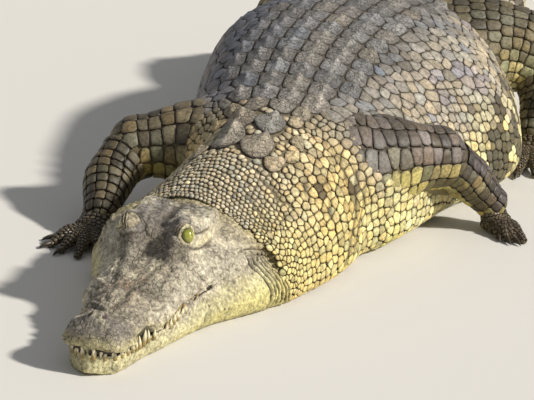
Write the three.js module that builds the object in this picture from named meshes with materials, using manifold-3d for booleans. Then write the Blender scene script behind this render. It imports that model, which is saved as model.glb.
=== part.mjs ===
import * as THREE from 'three';
import Module from 'manifold-3d';

const wasm = await Module();
wasm.setup();

// All lengths in millimetres. Plan distance S runs back from the snout tip along the spine.
const GAP = 0.3;
const TOTAL = 4300;
const HEAD_END = 660;
const NECK_END = 980;
const CHEST_END = 1400;
const TRUNK_END = 1960;
const HIP_END = 2320;
const TAIL_CUTS = [2780, 3220, 3720];
const BODY_SIDES = 24;
const TAIL_SIDES = 12;
const SINK = 5;
const FLESH = { colour: 0x8d8a6c, roughness: 0.75 };
const BELLY_TONE = { colour: 0xb9a860, roughness: 0.7 };
const HEAD_TONE = { colour: 0x9c9684, roughness: 0.8 };
const JAW_TONE = { colour: 0xbdb27c, roughness: 0.7 };
const LEG_TONE = { colour: 0x77775c, roughness: 0.7 };
const FOOT_TONE = { colour: 0x4a4334, roughness: 0.45 };
const EYE_TONE = { colour: 0xa8a832, roughness: 0.12 };
const CLAW_TONE = { colour: 0x2e2620, roughness: 0.4 };

// Sections of neck, trunk and tail: place, half width, top height, height of the widest line,
// sideways sag of the underside, roundness of the back, squareness of the belly.
const BODY = [
  [600, 182, 198, 84, 34, 1.75, 6.5],
  [660, 202, 212, 76, 44, 1.6, 6.5],
  [740, 208, 240, 80, 48, 1.6, 6.0],
  [850, 208, 272, 92, 48, 1.75, 5.5],
  [980, 206, 306, 110, 52, 1.85, 5.0],
  [1120, 248, 334, 126, 80, 1.95, 4.6],
  [1300, 282, 362, 134, 106, 2.0, 4.2],
  [1500, 328, 384, 140, 112, 2.0, 3.8],
  [1750, 378, 396, 144, 118, 2.0, 3.5],
  [1950, 346, 380, 144, 92, 2.0, 3.4],
  [2120, 262, 344, 136, 46, 2.0, 3.2],
  [2320, 182, 300, 126, 14, 1.9, 3.0],
  [2600, 128, 262, 112, 2, 1.8, 2.8],
  [2900, 92, 226, 98, 0, 1.8, 2.6],
  [3220, 62, 184, 82, 0, 1.8, 2.4],
  [3600, 38, 132, 60, 0, 1.8, 2.3],
  [3950, 20, 84, 40, 0, 1.8, 2.2],
  [4200, 9, 48, 24, 0, 1.9, 2.0],
  [4300, 4, 28, 14, 0, 2.0, 2.0],
];
// Turns of the spine seen from above: start, end, degrees toward the left.
const TURNS = [
  [590, 770, 16],
  [810, 1040, -22],
  [1200, 1700, 9],
  [2150, 2700, 6],
  [2700, 3300, -22],
  [3300, 4100, 16],
];
// Sections of the head: place, upper half width, lower half width, top height,
// lower lip height, opening between the lips, side exponent.
const HEAD = [
  [0, 14, 4, 78, 44, 6, 2.0],
  [14, 46, 22, 96, 42, 3, 2.1],
  [45, 68, 50, 110, 39, 2, 2.3],
  [85, 73, 63, 108, 39, 2, 2.4],
  [125, 67, 69, 100, 40, 6, 2.4],
  [165, 69, 75, 101, 42, 14, 2.3],
  [200, 80, 84, 108, 44, 6, 2.2],
  [240, 93, 96, 115, 45, 2, 2.2],
  [285, 98, 107, 124, 48, 3, 2.2],
  [325, 102, 117, 134, 57, 18, 2.2],
  [370, 110, 130, 148, 71, 3, 2.1],
  [420, 125, 148, 164, 83, 1, 2.0],
  [500, 150, 178, 180, 100, 1, 1.9],
  [580, 168, 200, 188, 105, 1, 1.75],
  [660, 184, 216, 203, 105, 1, 1.6],
];
const LIP_DEPTH = 26;
const JAW_POWER = 6;
const NOSE = { s: 48, width: 27, length: 24, height: 17 };
const TABLE = { s0: 452, s1: 575, half: 86, z: 211, soft: 9, rise: 50, fall: 22 };
const BROW = { s: 410, x: 55, height: 46, rx: 27, rs: 36 };
const EYE = { s: 410, x: 64, z: 196, r: 18, around: 9, along: 6 };
// Teeth: place, length, root radius, for the upper row and the lower row.
const UPPER_TEETH = [
  [18, 17, 5],
  [50, 13, 4.5],
  [92, 14, 5],
  [240, 12, 5],
  [306, 19, 5],
  [326, 20, 5],
  [346, 15, 4.5],
];
const LOWER_TEETH = [
  [34, 13, 4.5],
  [142, 16, 5],
  [161, 20, 5],
  [180, 18, 5],
];
const TOOTH = { root: 9, inset: 0.6, taper: 0.3, step: 3 };
// Low keeled plates on the nape: place, sideways offset, half length, half width, height.
const NAPE_PLATES = [
  [845, 36, 36, 31, 20],
  [845, -36, 36, 31, 20],
  [915, 33, 34, 29, 18],
  [915, -33, 34, 29, 18],
  [862, 104, 24, 20, 14],
  [862, -104, 24, 20, 14],
];
const PLATE = { fall: 0.0018, root: 12, keel: 1.5 };
const CREST = { half: 7, share: 0.45, root: 14, valley: 0.15, peak: 0.7 };
// Tail crests: first place, last place, number of points, sideways offset, height at each end.
const CRESTS = [
  [2330, 3330, 11, 0.42, 16, 44],
  [2330, 3330, 11, -0.42, 16, 44],
  [3330, 4270, 12, 0, 46, 20],
];
// Limbs: points of the upper part, then of the lower part (x, y, z, radius).
const LIMBS = {
  fore_left: {
    upper: [[110, 1090, 170, 90], [212, 1142, 186, 98], [300, 1208, 196, 84], [392, 1300, 192, 66]],
    lower: [[392, 1300, 192, 52], [446, 1368, 134, 55], [505, 1415, 66, 40]],
    palm: [520, 1412, 25, 43, 26],
    way: -45,
    spread: 0.55,
    digits: [84, 104, 112, 102, 80],
  },
  fore_right: {
    upper: [[-40, 1110, 160, 80], [-140, 1090, 178, 92], [-255, 1050, 162, 70]],
    lower: [[-258, 1045, 160, 54], [-284, 962, 104, 57], [-268, 862, 54, 40]],
    palm: [-268, 812, 26, 46, 24],
    way: -104,
    spread: 1,
    digits: [110, 140, 150, 138, 108],
  },
  hind_left: {
    upper: [[110, 2100, 190, 120], [260, 2150, 222, 130], [370, 2185, 222, 108], [442, 2190, 205, 84]],
    lower: [[442, 2190, 200, 68], [468, 2122, 124, 64], [462, 2056, 56, 44]],
    palm: [464, 2020, 27, 52, 26],
    way: -87,
    spread: 0.75,
    digits: [150, 186, 196, 164],
    web: 0.62,
  },
  hind_right: {
    upper: [[-20, 2100, 180, 110], [-130, 2180, 205, 122], [-215, 2245, 190, 98], [-268, 2290, 165, 78]],
    lower: [[-268, 2290, 160, 66], [-286, 2390, 108, 64], [-286, 2480, 54, 45]],
    palm: [-288, 2528, 27, 54, 26],
    way: 98,
    spread: 0.8,
    digits: [156, 194, 204, 168],
    web: 0.62,
  },
};
const FAN = [-42, -20, 0, 20, 42];
const DIGIT_RADIUS = 14;
const KNUCKLE_RISE = 12;
const WEB_LEVELS = [3, 9];
const CLAW_LENGTH = 24;
const CLAW_COUNT = 3;
const CUT = 0.5;

const clamp = (v, a, b) => Math.min(Math.max(v, a), b);
const smooth = (v, a, b) => {
  const t = clamp((v - a) / (b - a), 0, 1);
  return t * t * (3 - 2 * t);
};
const power = (v, p) => Math.sign(v) * Math.abs(v) ** p;

// Monotone cubic curve through one column of a section table.
function curve(table, column) {
  const xs = table.map((row) => row[0]);
  const ys = table.map((row) => row[column]);
  const n = xs.length;
  const h = xs.slice(1).map((x, i) => x - xs[i]);
  const d = h.map((step, i) => (ys[i + 1] - ys[i]) / step);
  const m = ys.map((_, i) => {
    if (i === 0) return d[0];
    if (i === n - 1) return d[n - 2];
    if (d[i - 1] * d[i] <= 0) return 0;
    const a = 2 * h[i] + h[i - 1];
    const b = h[i] + 2 * h[i - 1];
    return (a + b) / (a / d[i - 1] + b / d[i]);
  });
  return (x) => {
    const q = clamp(x, xs[0], xs[n - 1]);
    let i = 0;
    while (i < n - 2 && q > xs[i + 1]) i += 1;
    const t = (q - xs[i]) / h[i];
    const u = 1 - t;
    const start = ys[i] * (1 + 2 * t) * u * u + m[i] * h[i] * t * u * u;
    return start + ys[i + 1] * t * t * (3 - 2 * t) - m[i + 1] * h[i] * t * t * u;
  };
}
const bodyColumns = [1, 2, 3, 4, 5, 6].map((c) => curve(BODY, c));
const [bodyWidth, bodyTop, bodyMid, bodySag, backPower, bellyPower] = bodyColumns;
const headColumns = [1, 2, 3, 4, 5, 6].map((c) => curve(HEAD, c));
const [upperWidth, lowerWidth, headTop, lowerLip, mouthGap, headPower] = headColumns;
const upperLip = (s) => lowerLip(s) + mouthGap(s);

// Spine in plan: heading from the turns, then summed in short steps.
const STEP = 5;
const heading = (s) => TURNS.reduce((sum, [a, b, deg]) => sum + deg * smooth(s, a, b), 0)
  * Math.PI / 180;
const spine = [[0, 0]];
for (let s = 0; s < TOTAL; s += STEP) {
  const [x, y] = spine[spine.length - 1];
  const h = heading(s + STEP / 2);
  spine.push([x + STEP * Math.sin(h), y + STEP * Math.cos(h)]);
}
function place(s, x, z) {
  const i = Math.min(Math.floor(s / STEP), spine.length - 2);
  const t = s / STEP - i;
  const h = heading(s);
  const px = spine[i][0] * (1 - t) + spine[i + 1][0] * t;
  const py = spine[i][1] * (1 - t) + spine[i + 1][1] * t;
  return [px + x * Math.cos(h), py - x * Math.sin(h), z];
}

// Joins rings of equal count into one closed body with flat ends.
function loft(rings) {
  const n = rings[0].length;
  const verts = rings.flat();
  const tris = [];
  for (let i = 0; i < rings.length - 1; i += 1) {
    for (let j = 0; j < n; j += 1) {
      const k = (j + 1) % n;
      const [a, b, c, d] = [i * n + j, i * n + k, (i + 1) * n + k, (i + 1) * n + j];
      tris.push([a, c, b], [a, d, c]);
    }
  }
  [[0, 1], [rings.length - 1, -1]].forEach(([ring, way]) => {
    const centre = [0, 1, 2].map((k) => rings[ring].reduce((sum, p) => sum + p[k], 0) / n);
    verts.push(centre);
    for (let j = 0; j < n; j += 1) {
      const edge = [ring * n + j, ring * n + (j + 1) % n];
      if (way < 0) edge.reverse();
      tris.push([edge[0], edge[1], verts.length - 1]);
    }
  });
  return solid(verts, tris);
}
function solid(verts, tris) {
  const mesh = new wasm.Mesh({
    numProp: 3,
    vertProperties: new Float32Array(verts.flat()),
    triVerts: new Uint32Array(tris.flat()),
  });
  mesh.merge();
  const body = new wasm.Manifold(mesh);
  if (body.volume() > 0) return body;
  return solid(verts, tris.map(([a, b, c]) => [a, c, b]));
}

// One cross section of neck, trunk or tail; grow widens it all round.
function bodyRing(s, sides, grow = 0) {
  const w = bodyWidth(s) + grow;
  const top = bodyTop(s);
  const mid = bodyMid(s);
  const sag = bodySag(s);
  const ring = [];
  for (let j = 0; j < sides; j += 1) {
    const a = 2 * Math.PI * j / sides;
    const c = Math.cos(a);
    const q = Math.sin(a);
    const round = 2 / (q > 0 ? backPower(s) : bellyPower(s));
    const rise = q > 0 ? (top + grow - mid) * power(q, round) : -(mid + SINK) * power(-q, round);
    const z = Math.max(mid + rise, 0);
    const x = w * power(c, round) + sag * (1 - z / top);
    ring.push(place(s, x, z));
  }
  return ring;
}
const range = (a, b, n) => Array.from({ length: n + 1 }, (_, i) => a + (b - a) * i / n);
function bodyPart(a, b, n, sides, grow = 0) {
  return loft(range(a, b, n).map((s) => bodyRing(s, sides, grow)));
}

// Raised forms on top of the head: nose mound, brows over the eyes, flat skull table.
function headRelief(x, s, base) {
  const nose = Math.exp(-((x / NOSE.width) ** 2) - ((s - NOSE.s) / NOSE.length) ** 2);
  const side = Math.abs(x);
  const brow = Math.exp(-(((side - BROW.x) / BROW.rx) ** 2) - ((s - BROW.s) / BROW.rs) ** 2);
  const across = 1 - smooth(side, TABLE.half - TABLE.soft, TABLE.half + TABLE.soft);
  const front = smooth(s, TABLE.s0 - TABLE.rise, TABLE.s0);
  const along = front * (1 - smooth(s, TABLE.s1, TABLE.s1 + TABLE.fall));
  const lift = Math.max(TABLE.z - base, 0) * across * along;
  return NOSE.height * nose + Math.max(BROW.height * brow * (1 - along * across), lift);
}
function upperRing(s, n) {
  const w = upperWidth(s);
  const lip = upperLip(s);
  const top = headTop(s);
  const p = 2 / headPower(s);
  const ring = [];
  for (let j = 0; j <= n; j += 1) {
    const a = Math.PI * j / n;
    const x = w * power(Math.cos(a), p);
    const base = lip + (top - lip) * power(Math.sin(a), p);
    ring.push(place(s, x, base + headRelief(x, s, base) * smooth(Math.sin(a), 0.05, 0.55)));
  }
  const inner = Math.max(w - LIP_DEPTH, w * 0.3);
  const floor = lowerLip(s) + GAP;
  ring.push(place(s, -inner, floor), place(s, inner, floor));
  return ring;
}
function lowerRing(s, n) {
  const w = lowerWidth(s);
  const lip = lowerLip(s);
  const edge = Math.min(w, upperWidth(s) - 1);
  const sag = bodySag(s) * smooth(s, 380, HEAD_END);
  const ring = [];
  for (let j = 0; j <= n; j += 1) {
    const a = Math.PI + Math.PI * j / n;
    const drop = power(-Math.sin(a), 2 / JAW_POWER);
    const z = Math.max(lip - (lip + SINK) * drop, 0);
    const wide = edge + (w - edge) * smooth(drop, 0, 0.6);
    ring.push(place(s, wide * power(Math.cos(a), 2 / JAW_POWER) + sag * (1 - z / lip), z));
  }
  return ring;
}
const headPlaces = [
  ...range(1, 45, 3), ...range(70, 205, 5), ...range(240, 345, 3),
  ...range(368, 446, 4), ...range(480, 568, 2), 580, 600, HEAD_END - GAP / 2,
];
let head = loft(headPlaces.map((s) => upperRing(s, 16)));
let jaw = loft(headPlaces.map((s) => lowerRing(s, 9)));

// A four-sided tooth on the lip line, pointing up or down; grow makes its socket.
function tooth([s, length, r], side, way, grow) {
  const lips = [upperWidth(s), lowerWidth(s)];
  const w = Math.min(...(way < 0 ? lips : lips.reverse()).map((v, i) => v + TOOTH.step * i));
  const root = way < 0 ? upperLip(s) + TOOTH.root : lowerLip(s) - TOOTH.root;
  const tip = way < 0 ? upperLip(s) - length : lowerLip(s) + length;
  const x = side * (w - r * TOOTH.inset);
  const ring = (z, radius) => range(0, 3, 3).map((k) => {
    const a = Math.PI * k / 2;
    return place(s + radius * Math.sin(a), x + radius * Math.cos(a), z);
  });
  return loft([ring(root, r + grow), ring(tip + way * grow, r * TOOTH.taper + grow)]);
}
for (const side of [-1, 1]) {
  for (const t of UPPER_TEETH) {
    jaw = jaw.subtract(tooth(t, side, -1, GAP));
    head = head.add(tooth(t, side, -1, 0));
  }
  for (const t of LOWER_TEETH) {
    head = head.subtract(tooth(t, side, 1, GAP));
    jaw = jaw.add(tooth(t, side, 1, 0));
  }
}

// The largest piece left after a cut.
function largest(body) {
  return body.decompose().sort((a, b) => b.volume() - a.volume())[0];
}

// Sphere from stacked rings, its poles closed by small flats.
function ball(centre, r, around, along) {
  const rings = range(0, along, along).slice(1, -1).map((i) => {
    const a = Math.PI * i / along;
    return range(0, around - 1, around - 1).map((j) => {
      const b = 2 * Math.PI * j / around;
      return [
        centre[0] + r * Math.sin(a) * Math.cos(b),
        centre[1] + r * Math.sin(a) * Math.sin(b),
        centre[2] + r * Math.cos(a),
      ];
    });
  });
  return loft(rings);
}
const group = new THREE.Group();
function add(name, body, tone) {
  const mesh = body.getMesh();
  const geometry = new THREE.BufferGeometry();
  geometry.setAttribute('position', new THREE.BufferAttribute(mesh.vertProperties, 3));
  geometry.setIndex(new THREE.BufferAttribute(mesh.triVerts, 1));
  const flat = geometry.toNonIndexed();
  flat.computeVertexNormals();
  const material = new THREE.MeshStandardMaterial({
    color: tone.colour,
    roughness: tone.roughness,
    metalness: 0,
  });
  const item = new THREE.Mesh(flat, material);
  item.name = name;
  group.add(item);
}
for (const [side, name] of [[1, 'eye_left'], [-1, 'eye_right']]) {
  const centre = place(EYE.s, side * EYE.x, EYE.z);
  head = head.subtract(ball(centre, EYE.r + GAP, EYE.around, EYE.along));
  add(name, ball(centre, EYE.r, EYE.around, EYE.along), EYE_TONE);
}
add('head', head, HEAD_TONE);
add('lower_jaw', jaw, JAW_TONE);

// A tube along a smooth path of (x, y, z, radius) points, its far end rounded over.
function tube(points, steps, sides, grow = 0, squash = 1, turns = [0.5, 1.1]) {
  const path = new THREE.CatmullRomCurve3(points.map((p) => new THREE.Vector3(p[0], p[1], p[2])));
  const reach = points.length - 1;
  const radius = (t) => {
    const i = Math.min(Math.floor(t * reach), reach - 1);
    return THREE.MathUtils.lerp(points[i][3], points[i + 1][3], smooth(t * reach - i, 0, 1));
  };
  const ring = (centre, forward, r) => {
    const across = new THREE.Vector3(-forward.y, forward.x, 0).normalize();
    const over = new THREE.Vector3().crossVectors(forward, across);
    return range(0, sides - 1, sides - 1).map((k) => {
      const a = 2 * Math.PI * k / sides;
      const p = centre.clone().addScaledVector(across, r * Math.cos(a));
      p.addScaledVector(over, r * squash * Math.sin(a));
      return [p.x, p.y, Math.max(p.z, 0)];
    });
  };
  const rings = range(0, 1, steps).map((t) => {
    return ring(path.getPoint(t), path.getTangent(t), radius(t) + grow);
  });
  const forward = path.getTangent(1);
  const last = radius(1) + grow;
  for (const turn of turns) {
    const centre = path.getPoint(1).addScaledVector(forward, last * Math.sin(turn) * 0.8);
    rings.push(ring(centre, forward, last * Math.cos(turn)));
  }
  return loft(rings);
}

// Thin web between the digits, its edge drawn in between one digit and the next.
function webbing(limb, angle) {
  const [px, py] = limb.palm;
  const outline = [[px, py]];
  limb.digits.forEach((length, k) => {
    const reach = length * limb.web;
    outline.push([px + reach * Math.cos(angle(k)), py + reach * Math.sin(angle(k))]);
    if (k === limb.digits.length - 1) return;
    const between = (angle(k) + angle(k + 1)) / 2;
    outline.push([px + reach * 0.8 * Math.cos(between), py + reach * 0.8 * Math.sin(between)]);
  });
  return loft(WEB_LEVELS.map((z) => outline.map(([x, y]) => [x, y, z])));
}

// Foot: flattened palm with digits fanned from it; claws start a gap beyond the digit ends.
function foot(limb) {
  const [px, py, pz, wide, deep] = limb.palm;
  const angle = (k) => (limb.way + FAN[k] * limb.spread) * Math.PI / 180;
  const wrist = limb.lower[limb.lower.length - 1];
  const ahead = angle(2);
  const knuckle = [px + wide * 0.45 * Math.cos(ahead), py + wide * 0.45 * Math.sin(ahead)];
  let body = tube([
    [wrist[0], wrist[1], wrist[2], deep * 1.25],
    [px, py, pz, wide],
    [...knuckle, pz * 0.68, wide * 0.72],
  ], 4, 8, 0, 0.62, [0.9]);
  if (limb.web) body = body.add(webbing(limb, angle));
  const claws = [];
  limb.digits.forEach((length, k) => {
    const [c, q] = [Math.cos(angle(k)), Math.sin(angle(k))];
    const r = DIGIT_RADIUS;
    const at = (d, z, radius) => [px + c * d, py + q * d, z, radius];
    const clawed = k < CLAW_COUNT;
    const end = clawed ? length - CLAW_LENGTH : length;
    body = body.add(tube([
      at(wide * 0.2, pz, r),
      at(end * 0.62, r + KNUCKLE_RISE, r),
      at(end, r * 0.55, r * 0.62),
    ], 2, 5, 0, 1, [0.7]));
    if (!clawed) return;
    const clawRing = (d, z, radius) => range(0, 3, 3).map((m) => {
      const a = Math.PI * m / 2;
      const side = radius * Math.cos(a);
      const up = z + radius * Math.sin(a);
      return [px + c * d - q * side, py + q * d + c * side, Math.max(up, 0)];
    });
    const start = end + r * 0.6 + GAP;
    claws.push(loft([
      clawRing(start, r * 0.55, r * 0.42),
      clawRing(start + CLAW_LENGTH * 0.5, r * 0.5, r * 0.3),
      clawRing(start + CLAW_LENGTH, r * 0.16, r * 0.1),
    ]));
  });
  return [body, claws];
}

const pieces = [
  ['neck', HEAD_END, NECK_END, 5, BELLY_TONE],
  ['chest', NECK_END, CHEST_END, 5, FLESH],
  ['trunk', CHEST_END, TRUNK_END, 5, FLESH],
  ['hips', TRUNK_END, HIP_END, 5, FLESH],
].map(([name, a, b, n, tone]) => [name, range(a + GAP / 2, b - GAP / 2, n), tone]);
const cutter = loft(pieces.flatMap((p) => p[1]).map((s) => bodyRing(s, BODY_SIDES, CUT)));

// Low plate with a lengthwise keel, set on the skin of the neck.
function plate([s, x, long, wide, height]) {
  const top = bodyTop(s) - PLATE.fall * x * x;
  const ring = (length, width, z) => range(0, 5, 5).map((k) => {
    const a = Math.PI * k / 3;
    return place(s + length * Math.cos(a), x + width * Math.sin(a), z);
  });
  return loft([
    ring(long, wide, top - PLATE.root),
    ring(long * 0.5, PLATE.keel, top + height),
  ]);
}
for (const [name, places, tone] of pieces) {
  let body = loft(places.map((s) => bodyRing(s, BODY_SIDES)));
  if (name === 'neck') {
    for (const p of NAPE_PLATES) body = body.add(plate(p));
  }
  add(name, body, tone);
}

// Saw-toothed fin of triangular section standing on the tail between two places.
function crest([first, last, count, offset, h0, h1], from, to) {
  const pitch = (last - first) / count;
  const rings = [];
  for (let i = 0; i <= count; i += 1) {
    for (const [along, rise] of [[0, CREST.valley], [CREST.peak, 1]]) {
      const s = first + pitch * (i + along);
      if (s < from || s > to || (i === count && along > 0)) continue;
      const height = THREE.MathUtils.lerp(h0, h1, (s - first) / (last - first));
      const x = offset * bodyWidth(s);
      const half = Math.min(CREST.half, bodyWidth(s) * CREST.share);
      const root = -CREST.root;
      const z = bodyTop(s) * (1 - 0.05 * Math.abs(offset));
      rings.push([
        place(s, x - half, z + root), place(s, x + half, z + root), place(s, x, z + height * rise),
      ]);
    }
  }
  return rings.length > 1 ? loft(rings) : null;
}
const tailEnds = [HIP_END, ...TAIL_CUTS, TOTAL];
tailEnds.slice(1).forEach((end, i) => {
  const [from, to] = [tailEnds[i] + GAP / 2, end - GAP / 2];
  let body = loft(range(from, to, 4).map((s) => bodyRing(s, TAIL_SIDES)));
  for (const c of CRESTS) {
    const fin = crest(c, from, to);
    if (fin) body = body.add(fin);
  }
  add(`tail_${i + 1}`, body, FLESH);
});

for (const [name, limb] of Object.entries(LIMBS)) {
  const [steps, sides] = [4, 9];
  const upper = largest(tube(limb.upper, steps, sides).subtract(cutter));
  const upperCut = tube(limb.upper, steps, sides, CUT);
  const lower = largest(tube(limb.lower, steps, sides).subtract(upperCut).subtract(cutter));
  const lowerCut = tube(limb.lower, steps, sides, CUT);
  const [body, claws] = foot(limb);
  add(`${name}_upper`, upper, LEG_TONE);
  add(`${name}_lower`, lower, LEG_TONE);
  add(`${name}_foot`, largest(body.subtract(lowerCut).subtract(cutter)), FOOT_TONE);
  claws.forEach((claw, k) => add(`${name}_claw_${k + 1}`, claw, CLAW_TONE));
}

// Stand the model on its own centre: the middle of its outline becomes the origin.
const centre = new THREE.Box3().setFromObject(group).getCenter(new THREE.Vector3());
for (const item of group.children) item.geometry.translate(-centre.x, -centre.y, 0);
export default group;
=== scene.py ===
import math
from functools import partial

import bpy
import numpy as np
from mathutils import Matrix, Vector


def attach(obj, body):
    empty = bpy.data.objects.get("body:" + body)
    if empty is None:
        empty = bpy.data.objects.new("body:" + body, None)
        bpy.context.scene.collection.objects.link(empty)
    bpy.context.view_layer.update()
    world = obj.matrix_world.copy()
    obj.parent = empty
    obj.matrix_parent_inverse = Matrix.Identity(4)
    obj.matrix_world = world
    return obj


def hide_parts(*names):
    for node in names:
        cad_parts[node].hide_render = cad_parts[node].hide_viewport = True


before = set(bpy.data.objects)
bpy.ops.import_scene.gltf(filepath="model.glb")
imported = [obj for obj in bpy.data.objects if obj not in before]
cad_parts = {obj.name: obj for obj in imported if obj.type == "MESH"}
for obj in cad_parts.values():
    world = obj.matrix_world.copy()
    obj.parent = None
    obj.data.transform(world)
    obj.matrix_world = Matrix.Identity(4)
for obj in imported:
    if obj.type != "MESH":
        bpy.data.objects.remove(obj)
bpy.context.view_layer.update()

bl_info = {
    "name": "River Crocodile",
    "version": (1, 0, 0),
    "blender": (4, 5, 0),
    "location": "3D View > Sidebar > Crocodile",
    "description": "Builds the skin, scales, teeth, eyes, claws and stage of a life-size crocodile",
    "category": "Add Mesh",
}

# Plan lengths are in millimetres, measured back from the snout tip along the spine, until metres().
ORIGIN = np.array([-121.676, -2137.698, 0.0])
TOTAL = 4300.0
STEP = 5.0
SINK = 5.0
HEAD_BACK = 668.0
BODY_FRONT = 600.0
NECK_FRONT = 646.0
CHART_STEP = 10.0
COLUMNS = 192
# Body sections: (place, half width, top, height of the widest line, sag, back power, belly power).
BODY = [
    [600, 182, 198, 84, 34, 1.75, 6.5],
    [660, 202, 212, 76, 44, 1.6, 6.5],
    [740, 208, 240, 80, 48, 1.6, 6.0],
    [850, 208, 272, 92, 48, 1.75, 5.5],
    [980, 206, 306, 110, 52, 1.85, 5.0],
    [1120, 248, 334, 126, 80, 1.95, 4.6],
    [1300, 282, 362, 134, 106, 2.0, 4.2],
    [1500, 328, 384, 140, 112, 2.0, 3.8],
    [1750, 378, 396, 144, 118, 2.0, 3.5],
    [1950, 346, 380, 144, 92, 2.0, 3.4],
    [2120, 262, 344, 136, 46, 2.0, 3.2],
    [2320, 182, 300, 126, 14, 1.9, 3.0],
    [2600, 128, 262, 112, 2, 1.8, 2.8],
    [2900, 92, 226, 98, 0, 1.8, 2.6],
    [3220, 62, 184, 82, 0, 1.8, 2.4],
    [3600, 38, 132, 60, 0, 1.8, 2.3],
    [3950, 20, 84, 40, 0, 1.8, 2.2],
    [4200, 9, 48, 24, 0, 1.9, 2.0],
    [4300, 4, 28, 14, 0, 2.0, 2.0],
]
# Bends of the spine: (from, to, degrees).
TURNS = [
    [590, 770, 16],
    [810, 1040, -22],
    [1200, 1700, 9],
    [2150, 2700, 6],
    [2700, 3300, -22],
    [3300, 4100, 16],
]
# Head sections: (place, upper half width, lower half width, top, lower lip, mouth gap, power).
HEAD = [
    [0, 14, 4, 78, 44, 6, 2.0],
    [14, 46, 22, 96, 42, 3, 2.1],
    [45, 68, 50, 110, 39, 2, 2.3],
    [85, 73, 63, 108, 39, 2, 2.4],
    [125, 67, 69, 100, 40, 6, 2.4],
    [165, 69, 75, 101, 42, 14, 2.3],
    [200, 80, 84, 108, 44, 6, 2.2],
    [240, 93, 96, 115, 45, 2, 2.2],
    [285, 98, 107, 124, 48, 3, 2.2],
    [325, 102, 117, 134, 57, 18, 2.2],
    [370, 110, 130, 148, 71, 3, 2.1],
    [420, 125, 148, 164, 83, 1, 2.0],
    [500, 150, 178, 180, 100, 1, 1.9],
    [580, 168, 200, 188, 105, 1, 1.75],
    [660, 184, 216, 203, 105, 1, 1.6],
]
JAW_POWER = 6
NOSE = {"s": 48, "width": 27, "length": 24, "height": 17}
TABLE = {"s0": 452, "s1": 575, "rise": 50, "fall": 22, "half": 86, "z": 211, "soft": 9}
BROW = {"s": 410, "x": 55, "height": 46, "rx": 27, "rs": 36}
EYE = {"s": 410, "x": 64, "z": 196, "r": 19.2}
# Limbs: points of the upper part and of the lower part (x, y, z, radius), palm, digits.
LIMBS = {
    "fore_left": {
        "upper": [[110, 1090, 170, 90], [212, 1142, 186, 98], [300, 1208, 196, 84], [392, 1300, 192, 66]],
        "lower": [[392, 1300, 192, 52], [446, 1368, 134, 55], [505, 1415, 66, 40]],
        "palm": [520, 1412, 25, 43, 26],
        "way": -45,
        "spread": 0.55,
        "digits": [84, 104, 112, 102, 80],
        "web": 0,
    },
    "fore_right": {
        "upper": [[-40, 1110, 160, 80], [-140, 1090, 178, 92], [-255, 1050, 162, 70]],
        "lower": [[-258, 1045, 160, 54], [-284, 962, 104, 57], [-268, 862, 54, 40]],
        "palm": [-268, 812, 26, 46, 24],
        "way": -104,
        "spread": 1,
        "digits": [110, 140, 150, 138, 108],
        "web": 0,
    },
    "hind_left": {
        "upper": [[110, 2100, 190, 120], [260, 2150, 222, 130], [370, 2185, 222, 108], [442, 2190, 205, 84]],
        "lower": [[442, 2190, 200, 68], [468, 2122, 124, 64], [462, 2056, 56, 44]],
        "palm": [464, 2020, 27, 52, 26],
        "way": -87,
        "spread": 0.75,
        "digits": [150, 186, 196, 164],
        "web": 0.62,
    },
    "hind_right": {
        "upper": [
            [-20, 2100, 180, 110], [-130, 2180, 205, 122], [-215, 2245, 190, 98], [-268, 2290, 165, 78],
        ],
        "lower": [[-268, 2290, 160, 66], [-286, 2390, 108, 64], [-286, 2480, 54, 45]],
        "palm": [-288, 2528, 27, 54, 26],
        "way": 98,
        "spread": 0.8,
        "digits": [156, 194, 204, 168],
        "web": 0.62,
    },
}
# Tail fins: first and last place, count, offset as a share of the half width, height at each end.
CRESTS = [(2330, 3330, 11, 0.42, 16, 44), (2330, 3330, 11, -0.42, 16, 44), (3330, 4270, 12, 0.0, 46, 20)]
FAN = [-42, -20, 0, 20, 42]
DIGIT_RADIUS = 14.0
KNUCKLE_RISE = 12.0
CLAW_LENGTH = 24.0
CLAW_RADIUS = 6.6
CLAW_HOOK = 12.5
CLAW_COUNT = 3


def smooth(v, a, b):
    """Rises from 0 at a to 1 at b along a soft S."""
    t = np.clip((np.asarray(v, float) - a) / (b - a), 0, 1)
    return t * t * (3 - 2 * t)


def bell(*offsets):
    """Soft bump: 1 where every offset is nought, fading as the square of the offsets grows."""
    return np.exp(-sum(offset**2 for offset in offsets))


def full_turn(count):
    """Even angles once round."""
    return np.linspace(0, 2 * math.pi, count, endpoint=False)


def signed_power(v, p):
    """The power p of the size of v, with the sign of v."""
    return np.sign(v) * np.abs(v) ** p


def unit(v):
    """v over its own length."""
    return v / np.maximum(np.linalg.norm(v, axis=-1, keepdims=True), 1e-9)


def curve(table, column):
    """Monotone cubic through one column of a section table: it never overshoots a section."""
    xs = np.array([row[0] for row in table], float)
    ys = np.array([row[column] for row in table], float)
    h = np.diff(xs)
    d = np.diff(ys) / h
    m = np.empty(len(xs))
    m[0] = d[0]
    m[-1] = d[-1]
    a = 2 * h[1:] + h[:-1]
    b = h[1:] + 2 * h[:-1]
    same = d[:-1] * d[1:] > 0
    first = np.where(same, d[:-1], 1)
    second = np.where(same, d[1:], 1)
    m[1:-1] = np.where(same, (a + b) / (a / first + b / second), 0)

    def at(x):
        q = np.clip(x, xs[0], xs[-1])
        i = np.clip(np.searchsorted(xs, q, side="right") - 1, 0, len(xs) - 2)
        t = (q - xs[i]) / h[i]
        u = 1 - t
        start = ys[i] * (1 + 2 * t) * u * u + m[i] * h[i] * t * u * u
        return start + ys[i + 1] * t * t * (3 - 2 * t) - m[i + 1] * h[i] * t * t * u

    return at


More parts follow.
